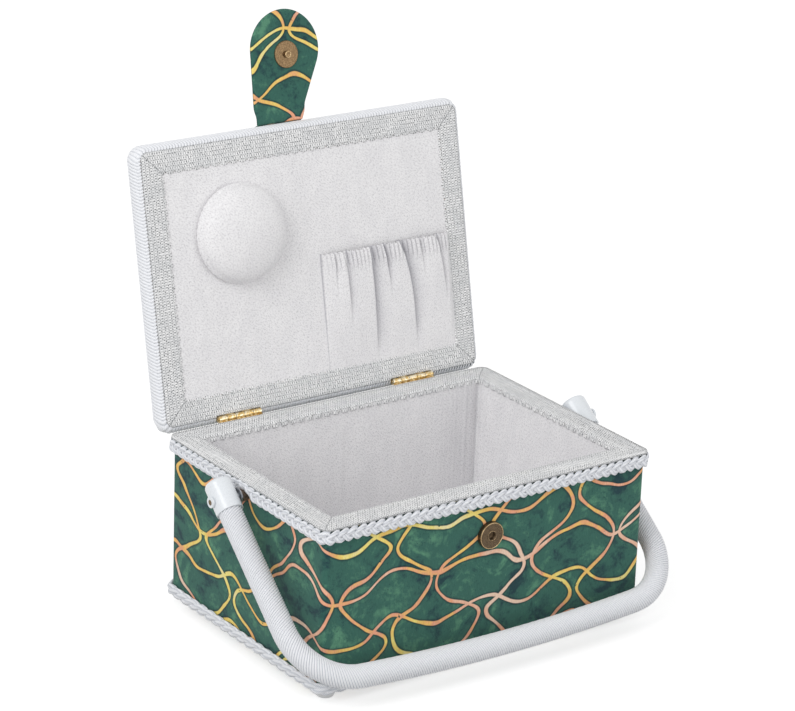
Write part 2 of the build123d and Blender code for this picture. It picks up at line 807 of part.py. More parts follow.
def make_flap():
    """Two cloths over a stiffener, the snap stud with its back plate, and the tab on the lid."""
    half = flap_thickness / 2
    at_axis = Pos(0, flap_axis_y, flap_axis_z)
    neck = flap_neck_x(0)
    nose = rod((neck - flap_neck_width / 2, 0, 0), (neck + flap_neck_width / 2, 0, 0), half)
    body = flap_prism() & flap_layer(-half, half)
    seams = [
        edge for edge in body.edges()
        if edge.geom_type != GeomType.LINE or abs(edge.tangent_at(0.5).Y) > 0.5
    ]
    body = fillet(seams, flap_rounding) + nose
    stiff_half = stiffener_thickness / 2
    stiffener_start = -flap_crank_start - flap_crank_length
    large = flap_reach + 2 * flap_head_radius
    flat_part = block((-large, -large, -large), (large, stiffener_start, large))
    stiffener = flap_prism(stiffener_inset) & flap_layer(-stiff_half, stiff_half) & flat_part
    shell = body - stiffener
    upper = flap_layer(0, flap_thickness)
    inner = shell - upper
    outer = shell & upper

    # Snap stud on the inner cloth: a disc with a knob, and a plate under the stiffener
    snap = (0, -flap_reach)
    face = flap_step - half
    disc_end = face - stud_disc_thickness
    plate_bottom = flap_step - stiff_half
    stud = rod((*snap, face), (*snap, disc_end), snap_radius)
    stud = fillet(stud.edges().filter_by(GeomType.CIRCLE).sort_by(Axis.Z)[0], stud_rounding)
    stud += rod((*snap, disc_end), (*snap, disc_end - stud_knob_height), stud_knob_radius)
    post = rod((*snap, face), (*snap, plate_bottom), stud_knob_radius)
    plate = rod((*snap, plate_bottom), (*snap, plate_bottom + stud_plate_thickness), stud_plate_radius)
    inner -= post
    stiffener -= plate
    pieces = {
        "flap_outer_cloth": outer,
        "flap_inner_cloth": inner,
        "flap_stiffener": stiffener,
        "snap_stud": stud + post,
        "snap_stud_plate": plate,
    }
    for name, piece in pieces.items():
        nodes[name] = opened(at_axis * piece)
    nodes["flap_tab"] = opened(flap_tab())


def make_snap_socket():
    """Socket with its magnet on the front of the box, held by prongs and a back plate."""
    face = box_depth / 2
    front = face + socket_thickness
    socket = snap_disc(face, front, snap_radius)
    socket = fillet(socket.edges().filter_by(GeomType.CIRCLE).sort_by(Axis.Y)[0], socket_rounding)
    magnet_space = snap_disc(face, front - socket_wall, magnet_radius)
    hole = snap_disc(face, front, socket_hole_radius)
    socket = socket - magnet_space - hole
    magnet = magnet_space - hole
    prongs = snap_prongs(0)
    rim = snap_disc(face, face + socket_wall, snap_radius) - hole
    for prong in prongs:
        rim += prong
    magnet -= snap_disc(face, face + socket_wall, snap_radius)
    inner_face = box_depth / 2 - batten_inset
    plate = snap_disc(inner_face, inner_face - back_plate_thickness, snap_radius)
    for prong in prongs:
        plate -= prong
    nodes["snap_socket"] = socket + rim
    nodes["snap_magnet"] = magnet
    nodes["snap_back_plate"] = plate


def make_handle():
    """Cord-wrapped bail with its core and end caps."""
    pivot, arm, bend_start, bend_middle, bend_end = bail_points()
    start = pivot + arm * tube_start
    bar_middle = Vector(0, handle_reach, 0)
    path = Wire([
        Line(mirrored(start), mirrored(bend_start)).edge(),
        ThreePointArc(mirrored(bend_start), mirrored(bend_middle), mirrored(bend_end)).edge(),
        ThreePointArc(mirrored(bend_end), bar_middle, bend_end).edge(),
        ThreePointArc(bend_end, bend_middle, bend_start).edge(),
        Line(bend_start, start).edge(),
    ])
    path = handle_plane * path
    across = Plane(origin=path.position_at(0), z_dir=path.tangent_at(0))
    nodes["handle_core"] = sweep(across * Circle(handle_core_radius), path=path)
    nodes["handle_wrap"] = sweep(across * (Circle(handle_radius) - Circle(handle_core_radius)), path=path)
    for side, name in ((-1, "left"), (1, "right")):
        centre = pivot if side > 0 else mirrored(pivot)
        ahead = arm if side > 0 else mirrored(arm)
        behind_end = centre - ahead * cap_behind
        ahead_end = centre + ahead * cap_ahead
        cap = rod(tuple(behind_end), tuple(ahead_end), cap_radius)
        closed_end = cap.edges().filter_by(GeomType.CIRCLE).sort_by(Axis.Y)[0]
        cap = fillet(closed_end, cap_rounding)
        cap -= rod(tuple(centre + ahead * tube_start), tuple(ahead_end), handle_radius)
        cap = handle_plane * cap
        cap -= place_along_x(side, pivot_half_spread - 2 * cap_radius, pivot_half_spread + 2 * cap_radius,
                             pivot_bolt_radius + running_clearance, 0, pivot_height)
        nodes["handle_cap_" + name] = cap


def make_pivots():
    """Bolt, spacer, washer and nut on each side: the handle's caps turn on the bolts."""
    wall = box_width / 2
    nut_seat = wall - lining_inset + nut_recess_depth
    spacers, washers, nuts = [], [], []
    for side, name in ((-1, "left"), (1, "right")):
        def bar(start, end, radius):
            """Round bar along the pivot's axis."""
            return place_along_x(side, start, end, radius, 0, pivot_height)

        shank = bar(nut_seat - nut_thickness, cap_outer, pivot_bolt_radius)
        head = bar(cap_outer, cap_outer + pivot_head_thickness, pivot_head_radius)
        nodes["pivot_bolt_" + name] = shank + head
        spacers.append(bar(wall, washer_start, spacer_radius) - shank)
        washers.append(bar(washer_start, cap_inner, washer_radius) - shank)
        nuts.append(bar(nut_seat - nut_thickness, nut_seat, nut_radius) - shank)
    nodes["pivot_spacers"] = Compound(children=spacers)
    nodes["pivot_washers"] = Compound(children=washers)
    nodes["pivot_nuts"] = Compound(children=nuts)


make_base()
make_walls()
make_inside()
make_hinges()
make_snap_socket()
make_lid_body()
make_pin_cushion()
make_pocket()
make_flap()
make_handle()
make_pivots()

os.makedirs("parts", exist_ok=True)
for node, shape in nodes.items():
    export_step(shape, "parts/" + node + ".step")
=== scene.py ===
import json
import math

import bpy
import numpy as np
from bpy.props import FloatProperty, FloatVectorProperty, IntProperty, PointerProperty
from mathutils import Matrix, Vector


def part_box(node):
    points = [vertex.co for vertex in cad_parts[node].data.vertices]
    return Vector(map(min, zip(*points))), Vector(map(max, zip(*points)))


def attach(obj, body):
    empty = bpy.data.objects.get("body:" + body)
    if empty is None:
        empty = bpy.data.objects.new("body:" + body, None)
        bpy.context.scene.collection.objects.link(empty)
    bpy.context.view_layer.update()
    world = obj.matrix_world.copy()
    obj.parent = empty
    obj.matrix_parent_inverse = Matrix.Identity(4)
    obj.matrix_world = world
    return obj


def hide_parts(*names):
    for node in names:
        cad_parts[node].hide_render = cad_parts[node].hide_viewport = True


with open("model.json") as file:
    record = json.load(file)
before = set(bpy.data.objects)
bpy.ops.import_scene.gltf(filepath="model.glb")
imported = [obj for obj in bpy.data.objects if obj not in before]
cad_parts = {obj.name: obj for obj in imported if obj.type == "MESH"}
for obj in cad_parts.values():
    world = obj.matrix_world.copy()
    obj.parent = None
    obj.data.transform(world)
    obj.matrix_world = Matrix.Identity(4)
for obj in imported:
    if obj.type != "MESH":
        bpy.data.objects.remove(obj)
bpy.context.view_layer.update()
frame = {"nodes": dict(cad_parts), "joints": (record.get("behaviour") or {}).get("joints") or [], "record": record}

bl_info = {
    "name": "Cloth-covered sewing box",
    "version": (1, 0, 0),
    "blender": (4, 5, 0),
    "location": "View3D > Sidebar > Sewing box",
    "description": "Dresses the sewing box's frame in cloth, cord, tape and metal, and sets a plain studio",
    "category": "Object",
}

MM = 0.001
PI = math.pi
TURN = 2 * math.pi
WHITE = (1.0, 1.0, 1.0)

# Places read from the frame, in metres
joints = {joint["name"]: joint for joint in frame["joints"]}
LID_AXIS = np.array(joints["lid_hinge"]["pos_m"])
FLAP_AXIS = np.array(joints["flap_fold"]["pos_m"])
LID_ANGLE = -math.radians(joints["lid_hinge"]["range_deg"][1])
FLAP_ANGLE = LID_ANGLE - math.radians(joints["flap_fold"]["range_deg"][0])
PIVOT_Z = joints["handle_swing"]["pos_m"][2]

# The lid's own measures, shut: x and y as on the box, t up from its lining side
LID_FACE_Z = LID_AXIS[2] + 0.25 * MM
LID_FRONT = -76.8 * MM
LID_BACK = 84.8 * MM
LID_HALF = 111.8 * MM
LID_CORNER = 4.5 * MM
LID_RAIL = 13.0 * MM
LID_EDGE_MIDDLE = 7.0 * MM
LID_EDGE_DEPTH = 4.3 * MM
LID_EDGE_TALL = 6.5 * MM
LID_EDGE_TOP = 13.5 * MM
LID_CORD = 1.8 * MM

# How far out the middle of a hinge is and half its length, the thickness of tape and of cotton, the
# radius of the box's corners, and the length of the flap from its fold to its snap
HINGE_X = 63.0 * MM
HINGE_HALF = 15.2 * MM
TAPE = 0.5 * MM
COTTON = 0.6 * MM
WALL_CORNER = 3.5 * MM
FLAP_REACH = 38.2 * MM


def tone(red, green, blue):
    """Screen colour from 0 to 255 as the linear colour that shows it: ((c + 0.055) / 1.055) ** 2.4."""
    return tuple(((c / 255 + 0.055) / 1.055) ** 2.4 for c in (red, green, blue))


# Sizes and colours that can be changed


def length(name, description, default):
    return FloatProperty(name=name, description=description, default=default, unit="LENGTH")


def tint(name, description, *screen):
    return FloatVectorProperty(
        name=name, description=description, size=3, subtype="COLOR", default=tone(*screen))


class PrintSettings(bpy.types.PropertyGroup):
    """The dyed print of the cover cloth."""

    cell_width: length("Cell width", "Width of one cell of the wavy net", 33 * MM)
    cell_height: length("Cell height", "Height of one wave of the net", 58 * MM)
    line_width: length("Line width", "Width of the light lines", 2.0 * MM)
    ground: tint("Ground", "Middle green of the mottled ground", 56, 104, 92)
    shade: tint("Shade", "Darkest blue green of the ground", 30, 64, 70)
    cloud: tint("Cloud", "Lightest green of the ground", 92, 146, 118)
    rim: tint("Line rim", "Dark colour along both sides of a line", 20, 50, 56)


class LiningSettings(bpy.types.PropertyGroup):
    """Lining cloth and tape."""

    cloth: tint("Lining", "Off-white of the lining", 242, 241, 242)
    tape: tint("Tape", "Light grey of the ribbed tape", 249, 249, 249)
    rib_pitch: length("Rib pitch", "Distance between the tape's ribs", 1.6 * MM)


class CordSettings(bpy.types.PropertyGroup):
    """Cords and braids."""

    colour: tint("Cord", "White of the cords", 246, 247, 250)
    handle_pitch: length("Handle pitch", "Distance between neighbouring cords on the handle", 1.5 * MM)
    handle_starts: IntProperty(
        name="Handle cords", description="Cords laid side by side round the handle", default=14)
    edge_pitch: length("Edge pitch", "Distance between turns on the lid's edge", 2.0 * MM)
    plait_period: length("Plait period", "Length of one whole crossing of the plait", 18 * MM)
    rope_period: length("Rope period", "Length of one twist of the lower cord", 26 * MM)


class MetalSettings(bpy.types.PropertyGroup):
    """Metal and plastic fittings."""

    brass: tint("Hinge brass", "Bright yellow brass", 246, 238, 214)
    bronze: tint("Snap bronze", "Antiqued bronze", 106, 88, 66)
    cap: tint("Caps", "Pale grey of the handle's caps", 226, 230, 234)


class StudioSettings(bpy.types.PropertyGroup):
    """Lamps and surroundings."""

    key: FloatProperty(name="Key", description="Power of the large front lamp", default=15.0, unit="POWER")
    fill: FloatProperty(name="Fill", description="Power of the side lamp", default=6.0, unit="POWER")
    sky: FloatProperty(name="Sky", description="Strength of the light from all round", default=0.68)


# Shader helpers


def math_node(operation, flipped=False):
    """A method that adds a Math node for the wire and its other values, flipped where they come first."""
    def method(self, *others):
        values = (*others, self) if flipped else (self, *others)
        return self.nodes.node("ShaderNodeMath", {"operation": operation}, dict(enumerate(values)))
    return method


class Wire:
    """A socket of a shader. Sums on numbers add Math nodes; any other node comes from Nodes.node."""

    def __init__(self, nodes, socket):
        self.nodes = nodes
        self.socket = socket

    __add__ = __radd__ = math_node("ADD")
    __sub__ = math_node("SUBTRACT")
    __rsub__ = math_node("SUBTRACT", flipped=True)
    __mul__ = __rmul__ = math_node("MULTIPLY")
    __truediv__ = math_node("DIVIDE")
    __mod__ = math_node("FLOORED_MODULO")
    __pow__ = math_node("POWER")
    __abs__ = math_node("ABSOLUTE")
    sin = math_node("SINE")
    cos = math_node("COSINE")
    floor = math_node("FLOOR")
    least = math_node("MINIMUM")
    most = math_node("MAXIMUM")

    def band(self, low, high, first=0.0, last=1.0):
        """Smooth step from first at low to last at high."""
        return self.nodes.node(
            "ShaderNodeMapRange", {"interpolation_type": "SMOOTHSTEP"},
            {"Value": self, "From Min": low, "From Max": high, "To Min": first, "To Max": last})


class Nodes:
    """The nodes of a material or of the world."""

    def __init__(self, owner):
        owner.use_nodes = True
        self.owner = owner
        self.tree = owner.node_tree
        self.tree.nodes.clear()

    def node(self, kind, settings=None, inputs=None, output=0):
        """A node of a type with its settings, then the values or links of its sockets."""
        node = self.tree.nodes.new(kind)
        for key, value in (settings or {}).items():
            if key == "stops":
                ramp = node.color_ramp.elements
                while len(ramp) < len(value):
                    ramp.new(0.5)
                for element, (place, colour) in zip(ramp, value):
                    element.position = place
                    element.color = (*colour, 1.0)
            else:
                setattr(node, key, value)
        for key, value in (inputs or {}).items():
            self.feed(node.inputs[key], value)
        return Wire(self, node.outputs[output])

    def feed(self, socket, value):
        """Links or sets one socket; a three-part colour gets its alpha."""
        if isinstance(value, Wire):
            self.tree.links.new(value.socket, socket)
        elif socket.type == "RGBA":
            socket.default_value = (*value[:3], 1.0)
        else:
            socket.default_value = value

    def show(self, kind, shader):
        """Feeds a shader to a new output node."""
        self.feed(self.tree.nodes.new(kind).inputs["Surface"], shader)

    def seen(self):
        """1 on a ray from the camera, also off a mirror or through glass, and 0 on a ray that lights."""
        rays = self.node("ShaderNodeLightPath").socket.node.outputs
        straight, mirrored, through = (
            Wire(self, rays[name]) for name in ("Is Camera Ray", "Is Glossy Ray", "Is Transmission Ray"))
        return straight.most(mirrored).most(through)

    def place(self, output="Object"):
        """Place in the piece's own space, or its cloth coordinates with UV, in metres."""
        return self.node("ShaderNodeTexCoord", output=output)

    def relief(self):
        """The mesh's mask of painted shade: 1 on a crest, 0 in a groove, -1 in a hole."""
        return self.node("ShaderNodeAttribute", {"attribute_name": "Relief"}, output="Fac")

    def parts(self, vector):
        """X, Y and Z of a vector."""
        split = self.node("ShaderNodeSeparateXYZ", None, {"Vector": vector})
        return [Wire(self, socket) for socket in split.socket.node.outputs]

    def joined(self, x, y, z=0.0):
        return self.node("ShaderNodeCombineXYZ", None, {"X": x, "Y": y, "Z": z})

    def vector(self, operation, first, second):
        return self.node("ShaderNodeVectorMath", {"operation": operation}, {0: first, 1: second})

    def noise(self, vector, size, detail=2.0, roughness=0.5, output="Fac", warp=0.0):
        """Noise whose lumps are about size metres wide."""
        return self.node(
            "ShaderNodeTexNoise", None,
            {"Vector": vector, "Scale": 1 / size, "Detail": detail, "Roughness": roughness,
             "Distortion": warp}, output)

    def mix(self, share, first, second, blend="MIX"):
        """Colour between two, or blended."""
        return self.node(
            "ShaderNodeMix", {"data_type": "RGBA", "blend_type": blend}, {0: share, 6: first, 7: second}, 2)

    def ramp(self, value, *stops):
        return self.node("ShaderNodeValToRGB", {"stops": stops}, {"Fac": value})

    def shaded(self, share, colour, value, low, high, *dark):
        """Colour multiplied, by a share, with a ramp from dark at low to white at high."""
        return self.mix(share, colour, self.ramp(value, (low, tone(*dark)), (high, WHITE)), "MULTIPLY")

    def stained_and_shaded(self, colour, *overlays):
        """Colour with overlays mixed over it one after another, each a share and a screen colour: real marks and
        painted shade.
        """
        for share, overlay in overlays:
            colour = self.mix(share, colour, tone(*overlay))
        return colour

    def bump(self, height, depth, strength=1.0, **under):
        """Normal from a height of 0 to 1 that stands for depth metres, over the Normal under it."""
        return self.node(
            "ShaderNodeBump", None, {"Height": height, "Distance": depth, "Strength": strength, **under})


class Finish(Nodes):
    """A material being built, with its shader."""

    def __init__(self, name):
        super().__init__(bpy.data.materials.new(name))
        shader = self.node("ShaderNodeBsdfPrincipled")
        self.sockets = shader.socket.node.inputs
        self.show("ShaderNodeOutputMaterial", shader)

    def set(self, **values):
        """Sets or feeds the shader's own sockets, named with _ for a space."""
        for key, value in values.items():
            self.feed(self.sockets[key.replace("_", " ")], value)

    def soft(self, colour, normal, roughness, sheen, specular):
        """Sets what all cloths, cords and paddings have."""
        self.set(Base_Color=colour, Normal=normal, Roughness=roughness, Sheen_Weight=sheen,
                 Specular_IOR_Level=specular)


finishes = {}


def finish(name):
    """The named material, made once."""
    if name not in finishes:
        made = Finish(name)
        if name in METALS:
            metal(made, *METALS[name])
        else:
            MAKERS[name](made)
        finishes[name] = made.owner
    return finishes[name]


def printed_cotton(f):
    """Dyed cotton: a net of wavy lines that meet and part, over a mottled green ground.
    Line k stands at k + (-1)**k * swing * cos(turns) across the cloth, so neighbours touch and part;
    a second set waves across them. Both are bent by slow noise, as if drawn by hand."""
    settings = bpy.context.scene.sewing_print
    cloth = f.place("UV")
    bend = f.vector("SUBTRACT", f.noise(cloth, 34 * MM, 1.0, 0.5, "Color"), (0.5, 0.5, 0.5))
    bend = f.vector("MULTIPLY", bend, (16 * MM,) * 3)
    u, v, _ = f.parts(f.vector("ADD", cloth, bend))
    across = u / settings.cell_width
    turns = v * (TURN / settings.cell_height)
    swing = 0.43
    steep = turns.sin() * (TURN * swing * settings.cell_width / settings.cell_height)
    slope = (steep * steep + 1.0) ** 0.5

    def line_at(index):
        """Distance from one line in metres, square to it."""
        side = 1.0 - 2.0 * (index % 2.0)
        return abs(across - index - side * turns.cos() * swing) * settings.cell_width / slope

    low = across.floor()
    near = line_at(low).least(line_at(low + 1.0))
    wave = (across * PI).sin() * 0.2 + (across * 2.3).sin() * 0.08
    half_cell = settings.cell_height / 2
    rung = v / half_cell + wave + 0.25
    rung_off = abs((rung % 1.0) - 0.5) * half_cell
    distance = near.least(rung_off / 1.12)

    swell = f.noise(cloth, 9 * MM, 2.0)
    half = (swell * 0.9 + 0.55) * (settings.line_width / 2)
    gap = f.noise(cloth, 5 * MM, 3.0, 0.6).band(0.66, 0.72)
    inside = (distance - half).band(-0.25 * MM, 0.25 * MM, 1.0, 0.0) * (1.0 - gap)
    beside = (distance - half).band(0.2 * MM, 1.6 * MM, 1.0, 0.0)

    clouds = f.noise(cloth, 22 * MM, 6.0, 0.6, warp=0.9)
    fine = f.noise(cloth, 5 * MM, 5.0, 0.7)
    ground = f.ramp(clouds * 0.7 + fine * 0.3, (0.38, settings.shade), (0.47, settings.ground),
                    (0.53, settings.ground), (0.64, settings.cloud))
    speck = f.noise(cloth, 1.8 * MM, 4.0, 0.75).band(0.54, 0.66)
    spread = f.noise(cloth, 16 * MM, 2.0).band(0.45, 0.6)
    ground = f.mix(speck * spread * 0.7, ground, settings.shade)
    ground = f.mix(beside * 0.75, ground, settings.rim)

    slow = f.noise(cloth, 75 * MM, 1.0)
    drift = f.noise(cloth, 12 * MM, 3.0, 0.6)
    dyes = f.ramp(
        slow * 0.75 + drift * 0.25, (0.34, tone(246, 234, 186)), (0.42, tone(252, 232, 130)),
        (0.47, tone(250, 200, 112)), (0.52, tone(244, 172, 136)), (0.60, tone(248, 214, 190)))
    weft = f.noise(f.vector("MULTIPLY", cloth, (1.0, 0.16, 1.0)), 0.5 * MM, 2.0)
    warp = f.noise(f.vector("MULTIPLY", cloth, (0.2, 1.0, 1.0)), 0.45 * MM, 1.0)
    colour = f.shaded(0.22, f.mix(inside, ground, dyes), weft, 0.3, 0.7, 120, 120, 120)
    f.soft(colour, f.bump(weft + warp, 0.12 * MM, 0.5), 0.86, 0.12, 0.25)


def lining_cloth(f):
    """Crepe: fine crossed slanting grain, with faint soft creases; painted shade darkens the creases and the
    places that the mesh's relief marks.
    """
    x, y, _ = f.parts(f.place("UV"))
    grain = f.noise(f.joined((x + y) * 0.45, y - x), 1.0 * MM, 3.0, 0.65)
    slub = f.noise(f.joined(x, y), 0.8 * MM, 2.0)
    crease = f.noise(f.joined(x, y * 0.6), 12 * MM, 3.0, 0.55)
    colour = f.shaded(0.85, bpy.context.scene.sewing_lining.cloth, grain * 0.6 + slub * 0.4, 0.36, 0.52,
                      205, 204, 206)
    # Painted shade in the hollows of the soft creases
    colour = f.shaded(0.16, colour, crease, 0.4, 0.6, 225, 225, 228)
    # Painted shade where the mesh marks creases and folds
    colour = f.stained_and_shaded(colour, (f.relief().band(0.0, 1.0, 0.6, 0.0), (140, 140, 150)))
    folds = f.bump(crease, 0.5 * MM, 0.5)
    f.soft(colour, f.bump(grain + slub * 0.6, 0.22 * MM, 0.8, Normal=folds), 0.88, 0.15, 0.2)


def woven_tape(f):
    """Ribbed tape: ribs that run across it, with painted shade in the rows of small gaps between them, in their
    grooves, along the mitres and along the outer edge.
    """
    settings = bpy.context.scene.sewing_lining
    cloth = f.place("UV")
    u, v, _ = f.parts(cloth)
    rib = u / settings.rib_pitch
    row = v / (1.25 * MM)
    odd = (row.floor() % 2.0) * 0.5
    along = abs(((rib + odd) % 1.0) - 0.5)
    over = abs((row % 1.0) - 0.5)
    irregular = f.noise(cloth, 1.3 * MM, 2.0, 0.6)
    # Painted shade in the small gaps of the weave
    hole = (along * 1.1 + over * 0.6 + irregular * 1.3).band(0.66, 1.02, 1.0, 0.0)
    # Painted shade in the grooves between the ribs
    groove = ((rib * TURN).cos() * 0.5 + 0.5) ** 2.0
    patch = f.noise(cloth, 9 * MM, 2.0).band(0.4, 0.62)
    # Over the tape: painted shade in the gaps and grooves, random greyer patches, then painted shade along the
    # mitres and along the outer edge
    colour = f.stained_and_shaded(
        settings.tape, (hole * 0.95, (84, 87, 90)), (groove * 0.5, (140, 142, 144)),
        (patch * 0.25, (190, 193, 196)), (f.relief().band(0.0, 1.0, 0.55, 0.0), (120, 124, 128)),
        (v.band(0.3 * MM, 1.8 * MM, 0.3, 0.0), (140, 144, 148)))
    fibre = f.noise(cloth, 0.35 * MM, 2.0)
    weave = f.bump(1.0 - hole, 0.3 * MM, 0.8)
    f.soft(colour, f.bump(fibre, 0.1 * MM, 0.5, Normal=weave), 0.9, 0.1, 0.2)


def spun_cord(f, fibre_pitch, lean, shade_depth, groove_shade):
    """Spun cord: fibres that lean round each strand, u along the strand and v round it. Painted shade darkens the
    twist of the fibres, and the grooves and holes that the mesh marks.
    """
    cloth = f.place("UV")
    u, v, _ = f.parts(cloth)
    ply = ((u / fibre_pitch + v * (lean / fibre_pitch)) * TURN).sin() * 0.5 + 0.5
    hair = f.noise(f.joined(u, v), 0.4 * MM, 3.0, 0.6)
    blotch = f.noise(cloth, 7 * MM, 2.0)
    # Painted shade between the twisted fibres
    colour = f.shaded(shade_depth, bpy.context.scene.sewing_cords.colour, ply * 0.7 + hair * 0.3, 0.15, 0.5,
                      186, 190, 198)
    # Painted shade in the grooves
    sunk = (f.relief() + hair * 0.3).band(0.25, 1.0, 1.0, 0.0)
    # Painted shade in the holes, dark green like the cloth under them
    hole = f.relief().band(-0.8, -0.05, 1.0, 0.0)
    colour = f.stained_and_shaded(colour, (blotch * 0.12, (206, 210, 218)), (sunk * groove_shade, (146, 154, 168)),
                       (hole, (40, 62, 62)))
    plies = f.bump(ply, 0.14 * MM, 0.6)
    f.soft(colour, f.bump(hair, 0.08 * MM, 0.5, Normal=plies), 0.78, 0.1, 0.3)


def braided_cord(f):
    """Soft cotton strands of the plait and the rope."""
    spun_cord(f, 1.1 * MM, 0.9, 0.45, 0.4)


def wound_cord(f):
    """Firm shiny cord of the handle and the lid's edge."""
    spun_cord(f, 0.8 * MM, 0.7, 0.3, 0.55)
    f.set(Roughness=0.55, Specular_IOR_Level=0.4)


def padding(f):
    """Wadding: short fibres felted together."""
    place = f.place()
    fluff = f.noise(place, 1.5 * MM, 5.0, 0.7, warp=1.5)
    lumps = f.noise(place, 12 * MM, 2.0)
    colour = f.ramp(fluff * 0.7 + lumps * 0.3, (0.35, tone(214, 210, 198)), (0.6, tone(242, 240, 232)))
    f.soft(colour, f.bump(fluff, 0.5 * MM, 0.8), 0.95, 0.2, 0.1)


def fibreboard(f):
    """Pressed board: fine brown chips and a hard, slightly polished skin."""
    place = f.place()
    chips = f.noise(place, 1.1 * MM, 5.0, 0.75)
    cloudy = f.noise(place, 18 * MM, 3.0)
    colour = f.ramp(chips * 0.65 + cloudy * 0.35, (0.36, tone(122, 92, 62)), (0.5, tone(160, 126, 90)),
                    (0.64, tone(188, 156, 118)))
    rough = f.noise(place, 4 * MM, 2.0).band(0.3, 0.7, 0.55, 0.75)
    f.set(Base_Color=colour, Roughness=rough, Normal=f.bump(chips, 0.08 * MM, 0.6))


def batten_wood(f):
    """Planed softwood: long grain lines along the batten, with slow bands."""
    x, y, z = f.parts(f.place())
    grain = f.noise(f.joined(x * 0.05, y * 0.6, z), 1.4 * MM, 4.0, 0.6)
    band = f.noise(f.joined(x * 0.08, y, z * 1.4), 7 * MM, 2.0, warp=0.8)
    colour = f.ramp(grain * 0.5 + band * 0.5, (0.36, tone(196, 156, 108)), (0.5, tone(222, 186, 138)),
                    (0.64, tone(236, 208, 166)))
    f.set(Base_Color=colour, Roughness=0.62, Normal=f.bump(grain, 0.06 * MM, 0.5))


def plastic(f, colour, roughness, speckle, coat=0.0):
    """Moulded plastic: one colour with a faint flow pattern and handling marks in its gloss."""
    place = f.place()
    flow = f.noise(place, 9 * MM, 2.0, warp=1.0)
    marks = f.noise(f.vector("MULTIPLY", place, (1.0, 1.0, 0.3)), 0.8 * MM, 4.0, 0.7)
    body = f.mix(flow, colour, tuple(c * (1 - speckle) for c in colour))
    f.set(Base_Color=body, Roughness=marks.band(0.35, 0.7, roughness * 0.85, roughness * 1.25),
          Coat_Weight=coat, Coat_Roughness=0.15, Normal=f.bump(marks, 0.02 * MM, 0.3))


def foot_plastic(f):
    """Milky plastic of the feet."""
    plastic(f, tone(238, 239, 240), 0.3, 0.08, 0.2)
    f.set(Subsurface_Weight=0.25, Subsurface_Radius=(2 * MM,) * 3)


def cap_plastic(f):
    """Glossy pale plastic of the handle's caps."""
    plastic(f, bpy.context.scene.sewing_metals.cap, 0.28, 0.06, 0.5)


def core_plastic(f):
    """Plain pale plastic of the handle's core and the flap's stiffener."""
    plastic(f, tone(206, 206, 204), 0.5, 0.1)


def bolt_bronze(f):
    """Bronze bolt in the middle of a head lacquered like the cap round it."""
    metals = bpy.context.scene.sewing_metals
    _, y, z = f.parts(f.place())
    away = ((z - PIVOT_Z) * (z - PIVOT_Z) + y * y) ** 0.5
    lacquered = away.band(1.5 * MM, 1.8 * MM)
    f.set(Base_Color=f.mix(lacquered, metals.bronze, metals.cap), Metallic=1.0 - lacquered, Roughness=0.34)


def metal(f, colour, dark, roughness, wear, grain, metallic):
    """Metal with a darker film in its low spots, brushed fine lines and rubbed brighter patches. Its
    colour is a screen colour or the name of a setting; wear and grain are widths in millimetres."""
    bright = getattr(bpy.context.scene.sewing_metals, colour) if isinstance(colour, str) else tone(*colour)
    dark = tone(*dark)
    place = f.place()
    film = f.noise(place, wear * MM, 5.0, 0.65)
    lines = f.noise(f.vector("MULTIPLY", place, (0.12, 1.0, 1.0)), grain * MM, 3.0, 0.6)
    body = f.mix(lines * 0.25, f.mix(film.band(0.38, 0.64), dark, bright), dark)
    rough = (film * 0.5 + lines * 0.5).band(0.3, 0.7, roughness * 1.3, roughness * 0.75)
    f.set(Base_Color=body, Metallic=metallic, Roughness=rough, Normal=f.bump(lines, 0.03 * MM, 0.35))


# Colour, film, roughness, wear, grain and metallic of each metal
METALS = {
    "hinge_brass": ("brass", (206, 172, 104), 0.26, 2, 0.5, 1.0),
    "snap_bronze": ("bronze", (76, 62, 45), 0.38, 0.7, 0.3, 0.75),
    # The stud's bronze is a lighter copy of the snap's bronze: painted light
    "stud_bronze": ((146, 120, 86), (108, 86, 60), 0.36, 0.7, 0.3, 0.75),
    # A lighter bronze for the raised rings of the snap: painted highlight
    "worn_bronze": ((214, 188, 146), (150, 124, 88), 0.3, 0.7, 0.3, 0.9),
    "steel": ((200, 202, 206), (150, 152, 156), 0.3, 2.5, 0.5, 1.0),
    "spacer_metal": ((150, 132, 116), (96, 84, 76), 0.5, 1.6, 0.4, 0.7),
    "magnet": ((116, 116, 120), (66, 66, 70), 0.5, 1.2, 0.3, 0.8),
}

MAKERS = {maker.__name__: maker for maker in (
    printed_cotton, lining_cloth, woven_tape, braided_cord, wound_cord, padding, fibreboard, batten_wood,
    foot_plastic, cap_plastic, core_plastic, bolt_bronze)}


# Surfaces


def about_x(points, angle, centre):
    """Points turned about the line along X through centre: y' = y cos - z sin, z' = y sin + z cos."""
    cosine, sine = math.cos(angle), math.sin(angle)
    rotation = np.array([[1, 0, 0], [0, cosine, -sine], [0, sine, cosine]])
    return (points - centre) @ rotation.T + centre


def opened(points):
    """Points of the shut lid, (x, y, t), where the lid stands open."""
    return about_x(points + np.array([0, 0, LID_FACE_Z]), LID_ANGLE, LID_AXIS)


def flapped(points):
    """Points of the flap about its own axis, where it stands up from the open lid."""
    return about_x(points, FLAP_ANGLE, np.zeros(3)) + FLAP_AXIS


